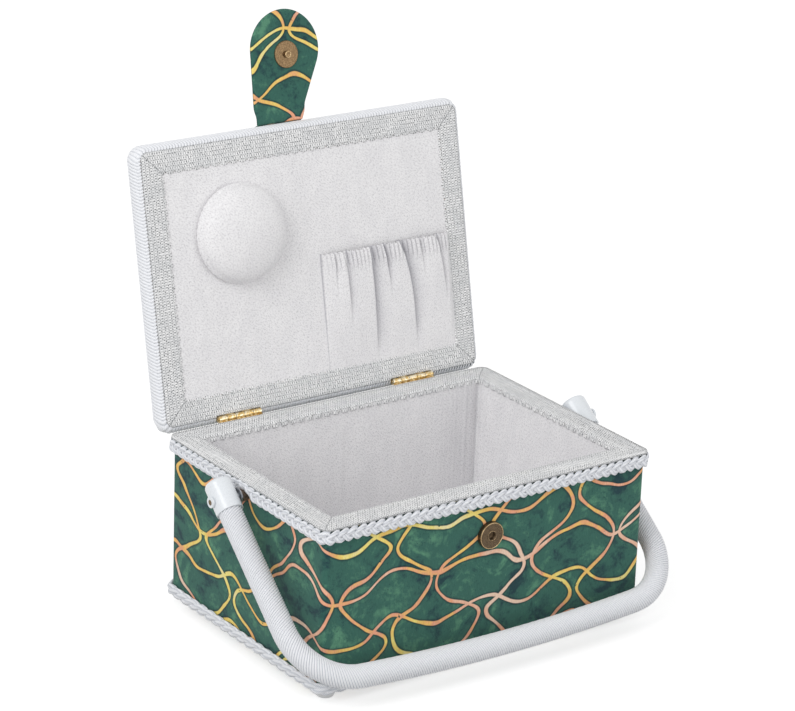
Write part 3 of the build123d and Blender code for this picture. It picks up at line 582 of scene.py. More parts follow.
class Shell:
    """Closed surface in parts, each a grid of points whose columns run round."""

    def __init__(self):
        self.points, self.faces, self.cloth, self.relief = [], [], [], []
        self.count = 0

    def add(self, points, cloth, ends="joined", relief=1.0):
        """points is rows x columns x 3, and cloth the same grid of cloth coordinates, with one more row
        or column where they run on. The first and last rows are joined, or closed on their own middles
        (poles), or between their two layers (flat). relief, 1 on a crest and 0 in a groove, sets the painted
        shade."""
        rows, columns = points.shape[:2]
        if cloth.shape[1] == columns:
            cloth = np.concatenate([cloth, cloth[:, :1]], axis=1)
        flat = points.reshape(-1, 3)
        raised = np.broadcast_to(relief, (rows, columns)).ravel()
        strips = np.arange(rows if ends == "joined" else rows - 1)
        i, j = (part.ravel() for part in np.meshgrid(strips, np.arange(columns), indexing="ij"))
        steps = [(0, 0), (1, 0), (1, 1), (0, 1)]
        faces = [np.stack([(i + a) % rows * columns + (j + b) % columns for a, b in steps], -1)]
        corners = [np.stack([cloth[i + a, j + b] for a, b in steps], -2)]
        for row, turn in ((0, 1), (rows - 1, -1)):
            if ends == "poles":
                k = np.arange(columns)
                pair = [k, k + 1][::turn]
                middle = np.full(columns, len(flat))
                faces.append(np.stack([*(row * columns + j % columns for j in pair), middle], -1))
                centre = np.broadcast_to(cloth[row, :columns].mean(axis=0), (columns, 2))
                corners.append(np.stack([*(cloth[row, j] for j in pair), centre], -2))
                flat = np.concatenate([flat, points[row].mean(axis=0)[None]])
                raised = np.append(raised, raised[0 if row == 0 else rows * columns - 1])
            elif ends == "flat":
                k = np.arange(columns // 2 - 1)
                four = [k, k + 1, columns - 2 - k, columns - 1 - k][::turn]
                faces.append(np.stack([row * columns + j for j in four], -1))
                corners.append(np.stack([cloth[row, j] for j in four], -2))
        volume = 0.0
        for group in faces:
            at = flat[group]
            for k in range(1, group.shape[1] - 1):
                volume += np.einsum("ij,ij->", at[:, 0], np.cross(at[:, k], at[:, k + 1]))
        if volume < 0:
            faces, corners = ([group[:, ::-1] for group in part] for part in (faces, corners))
        self.points.append(flat)
        self.faces.extend(group + self.count for group in faces)
        self.cloth.extend(corners)
        self.relief.append(raised)
        self.count += len(flat)
        return self

    def build(self, name, material, body, node_names, slot=None):
        """The mesh object, riding on its body and standing for its nodes."""
        points = np.concatenate(self.points)
        mesh = bpy.data.meshes.new(name)
        mesh.vertices.add(len(points))
        mesh.vertices.foreach_set("co", points.astype(np.float32).ravel())
        corners = np.concatenate([group.ravel() for group in self.faces])
        sizes = np.concatenate([np.full(len(group), group.shape[1]) for group in self.faces])
        mesh.loops.add(len(corners))
        mesh.loops.foreach_set("vertex_index", corners.astype(np.int32))
        mesh.polygons.add(len(sizes))
        mesh.polygons.foreach_set("loop_start", (np.cumsum(sizes) - sizes).astype(np.int32))
        mesh.update(calc_edges=True)
        marks = np.concatenate([group.reshape(-1, 2) for group in self.cloth])
        mesh.uv_layers.new(name="Cloth").data.foreach_set("uv", marks.astype(np.float32).ravel())
        # The mask of painted shade, read by the materials
        relief = mesh.attributes.new("Relief", "FLOAT", "POINT")
        relief.data.foreach_set("value", np.concatenate(self.relief).astype(np.float32))
        mesh.shade_smooth()
        if mesh.validate():
            raise RuntimeError(name + " had broken faces")
        piece = bpy.data.objects.new(name, mesh)
        bpy.context.scene.collection.objects.link(piece)
        mesh.materials.append(finish(material))
        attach(piece, body)
        if node_names:
            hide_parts(*node_names)
        return piece


def rising(value, start, over):
    """0 up to start, then straight up to 1 over a length."""
    return np.clip((value - start) / over, 0, 1)


def bell(off, width, power=2):
    """exp(-(off / width) ** power)."""
    return np.exp(-(off / width) ** power)


def ridged(phase):
    """Half round of a cord, sqrt(1 - (2 * phase - 1) ** 2), phase 0 to 1 across it."""
    return np.sqrt(np.clip(1 - (2 * phase - 1) ** 2, 0, 1))


def level(flat, height):
    """Points (n, 2) at one height."""
    return np.column_stack([flat, np.full(len(flat), height)])


def rings(outline, middle, steps):
    """The outline (n, 2) drawn in to its middle: one ring for each step of (share inwards, height)."""
    return [level(middle + (outline - middle) * (1 - share), height) for share, height in steps]


def layered(face, behind):
    """Columns of one layer and then, the other way, those of the layer behind it."""
    return np.concatenate([face, behind[:, ::-1]], axis=1)


def loop_path(half, front, back, radius, step, corner_points=8):
    """Closed path round a rectangle with rounded corners, from the middle of its back, seen from above
    anticlockwise. Gives points (n, 2), outward normals (n, 2) and lengths (n + 1). A side is a straight
    run of samples; a corner is its centre + radius * (cos a, sin a)."""
    points, normals = [], []
    middle, deep = (front + back) / 2, (back - front) / 2

    def side(start, end, outward):
        count = max(2, int(round(np.linalg.norm(end - start) / step)))
        points.append(start + (end - start) * (np.arange(count)[:, None] / count))
        normals.append(np.repeat(outward, count, axis=0))

    start = home = np.array([0.0, back])
    for sx, sy, first in ((-1, 1, 90), (-1, -1, 180), (1, -1, 270), (1, 1, 0)):
        centre = np.array([sx * (half - radius), middle + sy * (deep - radius)])
        angles = np.radians(np.linspace(first, first + 90, corner_points))
        outward = np.stack([np.cos(angles), np.sin(angles)], -1)
        arc = centre + radius * outward
        side(start, arc[0], outward[:1])
        points.append(arc[:-1])
        normals.append(outward[:-1])
        start = arc[-1]
    side(start, home, np.array([[0.0, 1.0]]))
    points, normals = np.concatenate(points), np.concatenate(normals)
    gaps = np.linalg.norm(np.roll(points, -1, axis=0) - points, axis=1)
    return points, normals, np.concatenate([[0], np.cumsum(gaps)])


def even_path(half, front, back, radius, count):
    """The same path at count even steps, by interpolation along its length."""
    points, normals, lengths = loop_path(half, front, back, radius, 2 * MM, 24)
    along = np.linspace(0, lengths[-1], count, endpoint=False)
    place, outward = (
        np.stack([np.interp(along, lengths, np.append(values[:, k], values[0, k])) for k in (0, 1)], -1)
        for values in (points, normals))
    outward /= np.linalg.norm(outward, axis=1)[:, None]
    return place, outward, np.append(along, lengths[-1])


def carried(points, normals, out, up):
    """Profile (out, up), each n x m or m, carried along a path: point + normal * out, at height up."""
    out = np.broadcast_to(out, (len(points), np.shape(out)[-1]))
    up = np.broadcast_to(up, out.shape)
    return np.concatenate([points[:, None] + normals[:, None] * out[..., None], up[..., None]], -1)


def cloth_grid(along, across):
    """Cloth coordinates of every pair of the two."""
    return np.stack(np.meshgrid(along, across, indexing="ij"), -1)


def strand(shell, centre, outward, wide, thick, ply, ply_pitch, gap=0.0):
    """Closed strand: an ellipse, wide across and thick outwards, carried along a closed centre line.
    Its four plies show as a radius of 1 - ply * |sin(2 * angle + half turns along)|, with painted shade
    between them. Where gap is 1 the upper edge gets painted shade, as dark as the hole beside it."""
    around = 16
    ahead = np.roll(centre, -1, axis=0) - np.roll(centre, 1, axis=0)
    gaps = np.linalg.norm(np.roll(centre, -1, axis=0) - centre, axis=1)
    along = np.concatenate([[0], np.cumsum(gaps)])
    ahead /= np.linalg.norm(ahead, axis=1)[:, None]
    side = np.cross(ahead, outward)
    side /= np.linalg.norm(side, axis=1)[:, None]
    front = np.cross(side, ahead)
    angle = np.linspace(0, TURN, around, endpoint=False)
    twists = round(along[-1] / ply_pitch)
    phase = along[:-1, None] / along[-1] * PI * twists + angle * 2
    radius = 1 - ply * np.abs(np.sin(phase))
    ring = (np.cos(angle) * radius * wide)[..., None] * side[:, None]
    ring = ring + (np.sin(angle) * radius * thick)[..., None] * front[:, None]
    cloth = cloth_grid(along, np.linspace(0, PI * (wide + thick), around + 1))
    upper = np.clip(ring[..., 2] / (0.5 * wide), 0, 1)
    # Painted shade between the plies, and on the upper edge where gap is 1
    relief = 1 - np.abs(np.sin(phase)) ** 3 - 2 * upper * np.broadcast_to(gap, len(ring))[:, None]
    shell.add(centre[:, None] + ring, cloth, relief=relief)


def plate(shell, outline, steps, bottom):
    """Flat or crowned plate in an outline (n, 2): rings of (share inwards to the middle, height), over
    the same outline at the bottom."""
    under = [(share, bottom) for share in np.linspace(steps[-1][0], 0, 3)]
    grid = np.array(rings(outline, outline.mean(axis=0), (*under, *steps)))
    shell.add(grid, grid[..., :2], "poles")


# Pieces


class PieceOperator(bpy.types.Operator):
    """What all the operators share: each shows in the log and can be undone."""

    bl_options = {"REGISTER", "UNDO"}


class SEWBOX_OT_cover(PieceOperator):
    """Printed cotton over the four walls and the base, on thin wadding. A wall swells by
    (1 - exp(-distance from its corner / soft)) * (4 v (1 - v)) ** 0.6, v from braid to braid, and is
    pressed flat round the snap."""

    bl_idname = "sewbox.cover"
    bl_label = "Cover"

    def execute(self, context):
        low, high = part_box("outer_cover")
        half, front, back, tall = high[0], low[1], high[1], high[2] - low[2]
        points, normals, lengths = loop_path(half, front, back, WALL_CORNER, 3 * MM)
        height = low[2] + tall * np.linspace(0, 1, 34)
        from_side, from_back = half - np.abs(points[:, 0]), back - np.abs(points[:, 1])
        from_corner = np.where(from_back < WALL_CORNER, from_side, from_back)
        swell, ripple, soft, snap_reach = 0.9 * MM, 0.12 * MM, 16 * MM, 15 * MM
        foot_cord, plait = 8 * MM, 9 * MM
        side = 1 - np.exp(-np.clip(from_corner - WALL_CORNER, 0, None) / soft)[:, None]
        upright = rising(height, low[2] + foot_cord, tall - foot_cord - plait)
        belly = 4 * upright * (1 - upright)
        snap_low, snap_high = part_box("snap_socket")
        from_snap = np.hypot(points[:, :1], height - (snap_low[2] + snap_high[2]) / 2)
        pressed = np.where(points[:, 1:] < 0, bell(from_snap, snap_reach, 4), 0)
        out = swell * side * belly ** 0.6 * (1 - pressed)
        out = out + ripple * np.sin(points[:, :1] * 190 + points[:, 1:] * 160) * side * belly
        up = np.append(height, height[::-1])
        grid = carried(points, normals, layered(out, np.full_like(out, -COTTON)), up)
        shell = Shell().add(grid, cloth_grid(lengths, np.append(up, up[0])))
        wall = shell.build("box_cover", "printed_cotton", "box", ["outer_cover"])

        low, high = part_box("base_cloth")
        points, _, _ = loop_path(high[0], low[1], high[1], WALL_CORNER - COTTON, 8 * MM)
        shell = Shell()
        plate(shell, points, [(share, high[2]) for share in np.linspace(0, 0.97, 8)], low[2])
        base = shell.build("base_cover", "printed_cotton", "box", ["base_cloth"])

        low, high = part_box("wadding")
        points, normals, lengths = loop_path(high[0], low[1], high[1], WALL_CORNER, 8 * MM)
        height = np.linspace(low[2], high[2], 8)
        out = np.repeat([-0.05 * MM, -1.3 * MM], 8)
        grid = carried(points, normals, out, np.append(height, height[::-1]))
        shell = Shell().add(grid, cloth_grid(lengths, np.append(np.tile(height, 2), height[0])))
        shell.build("wall_wadding", "padding", "box", ["wadding"])
        return {"FINISHED"}


class SEWBOX_OT_inside(PieceOperator):
    """Lining of the box in one piece, with the pads behind and under it. Its walls stand in by soft upright
    creases, two sines along the wall deepest halfway down, and by two bell-shaped tucks beside each
    corner."""

    bl_idname = "sewbox.inside"
    bl_label = "Box lining"

    def execute(self, context):
        low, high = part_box("box_lining")
        half, front, back, tall = high[0], low[1], high[1], high[2] - low[2]
        thick = 0.5 * MM
        path, outward, lengths = loop_path(half - thick, front + thick, back - thick, 1.6 * MM, 1.5 * MM)
        s = lengths[:-1]
        middle = np.array([0, (front + back) / 2])
        from_corner = np.maximum(
            half - np.abs(path[:, 0]), np.minimum(path[:, 1] - front, back - path[:, 1]))
        tucks = bell(from_corner - 5 * MM, 1.6 * MM) + 0.7 * bell(from_corner - 10 * MM, 2.2 * MM)
        slack, tuck_depth = 0.5 * MM, 1.1 * MM

        outer = [level(path + outward * thick, z) for z in np.linspace(low[2], high[2], 3)]
        under = rings(outer[0][:, :2], 0, [(share, low[2]) for share in np.linspace(0.96, 0.04, 4)])
        inner = []
        for z in np.linspace(high[2], low[2] + thick, 26):
            v = (z - low[2]) / tall
            crease = 0.35 * np.sin(s * 210 + 3 * v) + 0.25 * np.sin(s * 97 + 1.7) + 0.5
            bulge = np.clip(crease, 0, None) * np.sin(PI * v) * slack
            bulge += tucks * tuck_depth * (0.3 + 0.7 * v) * min(1.0, (1 - v) * 8, v * 8)
            inner.append(level(path - outward * bulge[:, None], z))
        floor = rings(inner[-1][:, :2], middle, [(share, low[2] + thick + slack * math.sin(PI * share))
                                                 for share in np.linspace(0.04, 0.96, 12)])
        grid = np.array([*under, *outer, *inner, *floor])
        first_inner = len(under) + len(outer)
        walls = first_inner + len(inner)
        cloth = np.empty((len(grid), len(lengths), 2))
        cloth[:walls, :, 0] = lengths
        cloth[:walls, :, 1] = grid[:walls, :1, 2]
        cloth[walls - 1:, :-1] = grid[walls - 1:, :, :2]
        cloth[walls - 1:, -1] = cloth[walls - 1:, 0]
        # Painted shade: fine upright creases beside the corners are darkened, most of all on the long walls
        beside = bell(from_corner, 38 * MM) * (0.25 + 0.75 * np.abs(outward[:, 1]))
        relief = np.ones(grid.shape[:2])
        relief[first_inner:walls] -= 0.42 * beside * (0.75 + 0.25 * np.sin(s * 1700))
        shell = Shell().add(grid, cloth, "poles", relief)
        lining = shell.build("box_lining_cloth", "lining_cloth", "box", ["box_lining"])
        wide, deep = high[0] - low[0], high[1] - low[1]

        low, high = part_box("floor_pad")
        points, _, _ = loop_path(high[0], low[1], high[1], 2 * MM, 8 * MM)
        shell = Shell()
        top = high[2] - 0.05 * MM
        plate(shell, points, [(0, top - 0.3 * MM), (0.02, top), (0.9, top)], low[2])
        shell.build("floor_padding", "padding", "box", ["floor_pad"])

        low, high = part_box("wall_pads")
        shell = Shell()
        thick, spare = 6.4 * MM, 0.1 * MM
        wide, deep, top = high[0] - spare, high[1] - spare, high[2] - spare
        for x0, x1, y0, y1 in ((-wide, wide, -deep, -deep + thick), (-wide, wide, deep - thick, deep),
                               (-wide, thick - wide, thick - deep, deep - thick),
                               (wide - thick, wide, thick - deep, deep - thick)):
            path, _, _ = loop_path((x1 - x0) / 2, y0, y1, 1 * MM, 6 * MM, 4)
            path = path + np.array([(x0 + x1) / 2, 0])
            plate(shell, path, [(0, top - 1 * MM), (0.1, top), (0.9, top)], low[2] + spare)
        shell.build("wall_padding", "padding", "box", ["wall_pads"])
        return {"FINISHED"}


def tape_ring(half, front, back, corner, profile, ribbed, facing, edge, place):
    """Tape round a rectangle: a closed profile of (inset, height) with mitred corners. Its ribbed columns
    rise and fall by rib * cos(turns along / rib pitch), towards facing, up 1 or down -1; its edge columns
    swing in and out by loop * |sin(half turns along / loop pitch)|; its mitres are drawn in, and its
    corners cut to arcs."""
    step, rib, sunk_seam, seam_half = 0.4 * MM, 0.12 * MM, 0.2 * MM, 0.8 * MM
    loop, loop_pitch, wobble, wobble_pitch = 1.4 * MM, 6.2 * MM, 0.2 * MM, 2.07 * MM
    profile = np.array(profile)
    inset, height = profile.T
    middle, deep = np.array([0, (front + back) / 2]), (back - front) / 2
    grid, along, inward, from_corner = [], [], [], []
    start = 0.0
    for ax, ay, reach, other in ((-1, 0, half, deep), (0, -1, deep, half),
                                 (1, 0, half, deep), (0, 1, deep, half)):
        q = np.linspace(-1, 1, round(2 * reach / step), endpoint=False)[:, None]
        a = q * (reach - inset)
        flat = np.array([ax, ay]) * a[..., None] + np.array([ay, -ax]) * (other - inset)[:, None] + middle
        grid.append(np.concatenate([flat, np.broadcast_to(height, a.shape)[..., None]], -1))
        along.append(a + start + reach)
        inward.append(np.broadcast_to([-ay, ax], (len(q), 2)))
        from_corner.append((1 - np.abs(q)) * reach)
        start += 2 * reach
    grid, along, inward, from_corner = map(np.concatenate, (grid, along, inward, from_corner))
    loops = loop * (np.abs(np.sin(PI * along / loop_pitch)) - 0.55)
    loops += wobble * np.cos(TURN * along / wobble_pitch)
    grid[:, edge, :2] += inward[:, None] * loops[:, edge, None]
    wave = np.cos(TURN * along / bpy.context.scene.sewing_lining.rib_pitch)
    seam = rising(from_corner, 0, seam_half)
    grid[:, ribbed, 2] += facing * (rib * wave[:, ribbed] - sunk_seam * (1 - seam))
    # Points beyond the corner arcs are drawn in onto them
    core = np.array([half - corner, deep - corner])
    flat = grid[..., :2] - middle
    nearest = np.clip(flat, -core, core)
    off = flat - nearest
    size = np.linalg.norm(off, axis=-1, keepdims=True)
    grid[..., :2] = nearest + off * np.minimum(1, corner / np.maximum(size, 1e-9)) + middle
    sides = np.diff(np.concatenate([profile, profile[:1]]), axis=0)
    cloth = np.empty((len(grid) + 1, len(profile) + 1, 2))
    cloth[:-1, :-1, 0] = along
    cloth[:-1, -1, 0] = along[:, 0]
    cloth[-1, :, 0] = along[-1, 0] + step
    cloth[..., 1] = np.concatenate([[0], np.cumsum(np.hypot(*sides.T))])
    # seam, low at the mitres, is also the mask of the painted shade there
    return Shell().add(place(grid), cloth, relief=seam)


class SEWBOX_OT_rim_tape(PieceOperator):
    """Tape over the rim of the box, turned down inside it."""

    bl_idname = "sewbox.rim_tape"
    bl_label = "Rim tape"

    def execute(self, context):
        low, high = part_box("rim_tape")
        half, front, back = high[0], low[1], high[1]
        bottom, top, under = low[2], high[2], high[2] - TAPE
        inner, lip = 14.5 * MM, 1.3 * MM
        profile = [
            (-lip, under - 0.9 * MM), (-lip, top - 0.15 * MM), (0.3 * MM - lip, top),
            *((across * MM, top) for across in (3, 6, 9, 12)), (inner - 0.5 * MM, top),
            (inner - 0.05 * MM, top - 0.5 * MM), (inner, top - 2 * MM), (inner, bottom + 0.2 * MM),
            (inner - 0.25 * MM, bottom), (inner - TAPE, bottom + 0.2 * MM), (inner - TAPE, under),
            (6 * MM, under)]

        def reaching_back(points):
            """The lip along the back reaches on towards the lid."""
            points[..., 1] += rising(points[..., 1], back, lip) * 1.4 * MM
            return points

        shell = tape_ring(half, front, back, 5.5 * MM, profile, range(2, 8), 1, [9, 10, 11], reaching_back)
        tape = shell.build("rim_tape_cloth", "woven_tape", "box", ["rim_tape"])
        return {"FINISHED"}


class SEWBOX_OT_braids(PieceOperator):
    """Plait under the rim and twisted cord round the foot of the walls. Strand k of three stands at a
    height of sin(t) and outwards by sin(2 t) in the plait and by cos(t) in the cord, t = turns along +
    k thirds of a turn."""

    bl_idname = "sewbox.braids"
    bl_label = "Braids"

    def execute(self, context):
        cords = context.scene.sewing_cords
        low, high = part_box("top_braid")
        bulge = 3.5 * MM
        half, front, back = high[0] - bulge, low[1] + bulge, high[1] - bulge

        def strands(count, period):
            """The path round the walls, its normals flat and in space, and the turns of three strands."""
            points, normals, lengths = even_path(half + bulge / 2, front - bulge / 2, back + bulge / 2,
                                                 WALL_CORNER + bulge / 2, count)
            turn = lengths[:-1] / lengths[-1] * TURN * round(lengths[-1] / period)
            outward = np.column_stack([normals, np.zeros(count)])
            return points, normals, outward, [turn + k * TURN / 3 for k in range(3)]

        points, normals, outward, turns = strands(1500, cords.plait_period)
        middle, tall = (low[2] + high[2]) / 2, high[2] - low[2]
        width, thick, raised, over_pivot = 1.75 * MM, 1.05 * MM, 0.5 * MM, 2.5 * MM
        # At one place in each turn of a strand its upper edge gets painted shade, dark like the hole beside it
        hole_shade_at, hole_shade_width = math.radians(138), 0.34
        # The plait is drawn together and up where it passes over each pivot
        near = bell(points[:, 1], 7 * MM, 4) * (np.abs(points[:, 0]) > half - 1 * MM)
        swing = (tall / 2 - width) * (1 - 0.62 * near)
        shell = Shell()
        for t in turns:
            up = middle + raised + swing * np.sin(t) + near * over_pivot
            out = 0.62 * MM * np.sin(2 * t)
            gap = bell((t - hole_shade_at + PI) % TURN - PI, hole_shade_width) * 1.4
            centre = np.column_stack([points + normals * out[:, None], up])
            strand(shell, centre, outward, width, thick, 0.2, 7 * MM, gap)
        shell.build("rim_plait", "braided_cord", "box", ["top_braid"])

        points, normals, outward, turns = strands(1100, cords.rope_period)
        low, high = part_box("bottom_braid")
        middle = (low[2] + high[2]) / 2
        shell = Shell()
        for t in turns:
            out = 0.55 * MM * np.cos(t) + 0.1 * MM
            centre = np.column_stack([points + normals * out[:, None], middle + 1.95 * MM * np.sin(t)])
            strand(shell, centre, outward, 2.0 * MM, 1.2 * MM, 0.16, 11 * MM)
        shell.build("foot_cord", "braided_cord", "box", ["bottom_braid"])
        return {"FINISHED"}


class SEWBOX_OT_lid_edge(PieceOperator):
    """Cord wound round the half-oval edge of the lid, each turn a half-round ridge. Over the edge it leans
    along it, one way to a line near the tape, the knee, and back again from there."""

    bl_idname = "sewbox.lid_edge"
    bl_label = "Lid edge cord"

    def execute(self, context):
        lengths = loop_path(LID_HALF, LID_FRONT, LID_BACK, LID_CORNER, 2 * MM, 24)[2]
        turns = round(lengths[-1] / context.scene.sewing_cords.edge_pitch)
        count = turns * 8
        points, normals, lengths = even_path(LID_HALF, LID_FRONT, LID_BACK, LID_CORNER, count)
        share = np.linspace(0, 1, 21)
        angle = (share - 0.5) * PI
        knee = 0.16
        lean = 3.2 * normals[:, :1] ** 2 - 2.4 * normals[:, 1:] ** 2
        phase = (lengths[:-1, None] / lengths[-1] * turns - lean * np.abs(share - knee)) % 1.0
        ridge = ridged(phase)
        sunk = 0.9 * MM * (1 - ridge)
        at_back = rising(normals[:, 1:], 0.5, 0.25)
        out = (LID_EDGE_DEPTH + 0.6 * MM * at_back - sunk) * np.cos(angle)
        up = LID_EDGE_MIDDLE + (LID_EDGE_TALL - sunk) * np.sin(angle)
        near_hinge = (np.abs(np.abs(points[:, :1]) - HINGE_X) < HINGE_HALF) & (points[:, 1:] > 0)
        over_knuckles = 1.95 * MM
        up = np.where(near_hinge, np.maximum(up, over_knuckles), up)
        back_angle = np.radians([80, 40, 0, -40, -80])
        inner_out = (LID_EDGE_DEPTH - LID_CORD) * np.cos(back_angle)
        inner_up = LID_EDGE_MIDDLE + (LID_EDGE_TALL - LID_CORD) * np.sin(back_angle)
        out, up = (np.concatenate([outer, np.broadcast_to(inner, (count, len(inner)))], 1)
                   for outer, inner in ((out, inner_out), (up, inner_up)))
        columns = out.shape[1]
        girth = PI * (LID_EDGE_DEPTH + LID_EDGE_TALL) / 2
        across = np.linspace(0, girth * columns / len(share), columns + 1)
        # Painted shade: dark holes between the turns beside the tape, at the right of the back; along the back the
        # grooves get almost no painted shade, a painted light
        painted_holes = at_back * (np.abs(phase - 0.5) > 0.34) * (share < knee)
        painted_holes = painted_holes * rising(points[:, :1], 10 * MM, 50 * MM)
        edge_shade_relief = np.maximum(ridge, 0.9 * at_back) * (1 - painted_holes) - painted_holes
        relief = np.concatenate([edge_shade_relief, np.ones((count, len(inner_up)))], 1)
        grid = carried(points, normals, out, up)
        shell = Shell().add(opened(grid), cloth_grid(lengths, across)[..., ::-1], relief=relief)
        shell.build("lid_edge_winding", "wound_cord", "lid", ["lid_edge_cord"])
        return {"FINISHED"}


class SEWBOX_OT_lid_inside(PieceOperator):
    """Lining of the lid and the tape round it. The lining lifts in soft waves: 0.07 mm * soft ** 3 +
    0.18 mm * slow ** 2, each a sine across that sways along."""

    bl_idname = "sewbox.lid_inside"
    bl_label = "Lid lining"

    def execute(self, context):
        inset = LID_RAIL - 1.2 * MM
        half, front, back = LID_HALF - inset, LID_FRONT + inset, LID_BACK - inset
        x, y = np.meshgrid(np.linspace(-half, half, 150), np.linspace(front, back, 100), indexing="ij")
        edge = np.minimum(half - np.abs(x), np.minimum(y - front, back - y))
        free = rising(edge, 1.5 * MM, 8 * MM)
        soft = 0.5 + 0.5 * np.sin(x * 420 + 2.5 * np.sin(y * 60 + x * 35))
        slow = 0.5 + 0.5 * np.sin(x * 118 + 1.3 * np.sin(y * 31) + 0.8)
        lift = (0.07 * MM * soft ** 3 + 0.18 * MM * slow ** 2) * free
        grid = layered(*(np.stack([x, y, t], -1) for t in (TAPE - lift, np.full_like(x, 2 * TAPE))))
        shell = Shell().add(opened(grid), grid[..., :2], "flat")
        lining = shell.build("lid_lining_cloth", "lining_cloth", "lid", ["lid_lining"])

        out, width = 0.5 * MM, 14 * MM
        profile = np.array([
            (0.3, 0.5), (0.0, 0.25), (0.3, 0.0), (2.5, -0.05), (5, 0.0), (7.5, -0.05), (10, 0.0),
            (12.5, -0.05), (13.7, 0.0), (14, 0.25), (13.7, 0.48), (7, 0.5)]) * MM

        def fitted(points):
            """Tape drawn back from the knuckles of the hinges, on the open lid."""
            knuckles_y = 84.05 * MM
            at_hinge = np.abs(np.abs(points[..., 0]) - HINGE_X) < HINGE_HALF
            points[..., 1] = np.where(at_hinge, np.minimum(points[..., 1], knuckles_y), points[..., 1])
            return opened(points)

        shell = tape_ring(LID_HALF + out, LID_FRONT - out, LID_BACK + out, LID_CORNER + out, profile,
                          range(2, 9), -1, [8, 9, 10], fitted)
        tape = shell.build("lid_tape_cloth", "woven_tape", "lid", ["lid_tape"])
        return {"FINISHED"}


class SEWBOX_OT_lid_cover(PieceOperator):
    """Printed cotton on the crowned top of the lid, over its padding: a quarter ellipse, 30 mm inwards and
    3 mm up, and then a dome that rises by 1.2 mm * sin(a quarter turn * the share inwards)."""

    bl_idname = "sewbox.lid_cover"
    bl_label = "Lid cover"

    def execute(self, context):
        crown, run, swell = 3 * MM, 30 * MM, 1.2 * MM

        def pad(name, inset, edge, material, node):
            half, front, back = LID_HALF - inset, LID_FRONT + inset, LID_BACK - inset
            middle = np.array([0, (front + back) / 2])
            outline = loop_path(half, front, back, LID_CORNER, 4 * MM, 6)[0]
            rows = rings(outline, middle, [(0.6, LID_EDGE_TOP), (0.0, LID_EDGE_TOP)])
            for a in np.linspace(0, PI / 2, 9):
                drawn, top = run * (1 - math.cos(a)), edge + crown * math.sin(a)
                scale = np.array([1 - drawn / half, 1 - drawn / ((back - front) / 2)])
                last = middle + (outline - middle) * scale
                rows.append(level(last, top))
            rows += rings(last, middle, [(share, top + swell * math.sin(share * PI / 2))
                                         for share in (0.2, 0.4, 0.6, 0.8, 0.95)])
            grid = np.array(rows)
            shell = Shell().add(opened(grid), grid[..., :2] + np.array([0.013, 0.021]), "poles")
            shell.build(name, material, "lid", [node])

        pad("lid_filling", COTTON, LID_EDGE_TOP + 0.5 * COTTON, "padding", "lid_padding")
        pad("lid_cover_cloth", 0.0, LID_EDGE_TOP + 2 * COTTON, "printed_cotton", "lid_cover")
        return {"FINISHED"}


class SEWBOX_OT_pin_cushion(PieceOperator):
    """Round pin cushion. Its side swells from the seam as a half sine; its top is an oval of the seam's
    radius * cos(a) ** 0.93 at a height of sin(a) ** 1.05; small gathers at the seam fade up the side."""

    bl_idname = "sewbox.pin_cushion"
    bl_label = "Pin cushion"

    def execute(self, context):
        centre_x, centre_y = -51 * MM, LID_AXIS[1] - 108 * MM
        seam, radius, side, height = 28.5 * MM, 30 * MM, 6.5 * MM, 17 * MM
        angle = np.linspace(0, TURN, 180, endpoint=False)
        low = np.linspace(0, 1, 9)
        up = PI / 2 * (1 - (1 - np.linspace(0, 1, 30)[1:-1]) ** 1.25)
        r = np.concatenate([seam + (radius - seam) * np.sin(PI * low), seam * np.cos(up) ** 0.93])
        h = np.concatenate([side * low, side + (height - side) * np.sin(up) ** 1.05])
        gathers = 0.28 * MM * np.sin(angle * 46 + 0.7 * np.sin(angle * 7)) * np.exp(-h / (4.5 * MM))[:, None]
        reach = r[:, None] + gathers
        grid = np.stack([centre_x + reach * np.cos(angle), centre_y + reach * np.sin(angle),
                         TAPE - np.broadcast_to(h[:, None], reach.shape)], -1)
        arc = np.concatenate([[0], np.cumsum(np.hypot(np.diff(r), np.diff(h)))])
        spread = (arc[-1] - arc + r[-1])[:, None]
        cloth = np.stack([spread * np.cos(angle), spread * np.sin(angle)], -1)
        shell = Shell().add(opened(grid), cloth, "poles")
        cushion = shell.build("pin_cushion_pad", "lining_cloth", "lid", ["pin_cushion"])
        return {"FINISHED"}


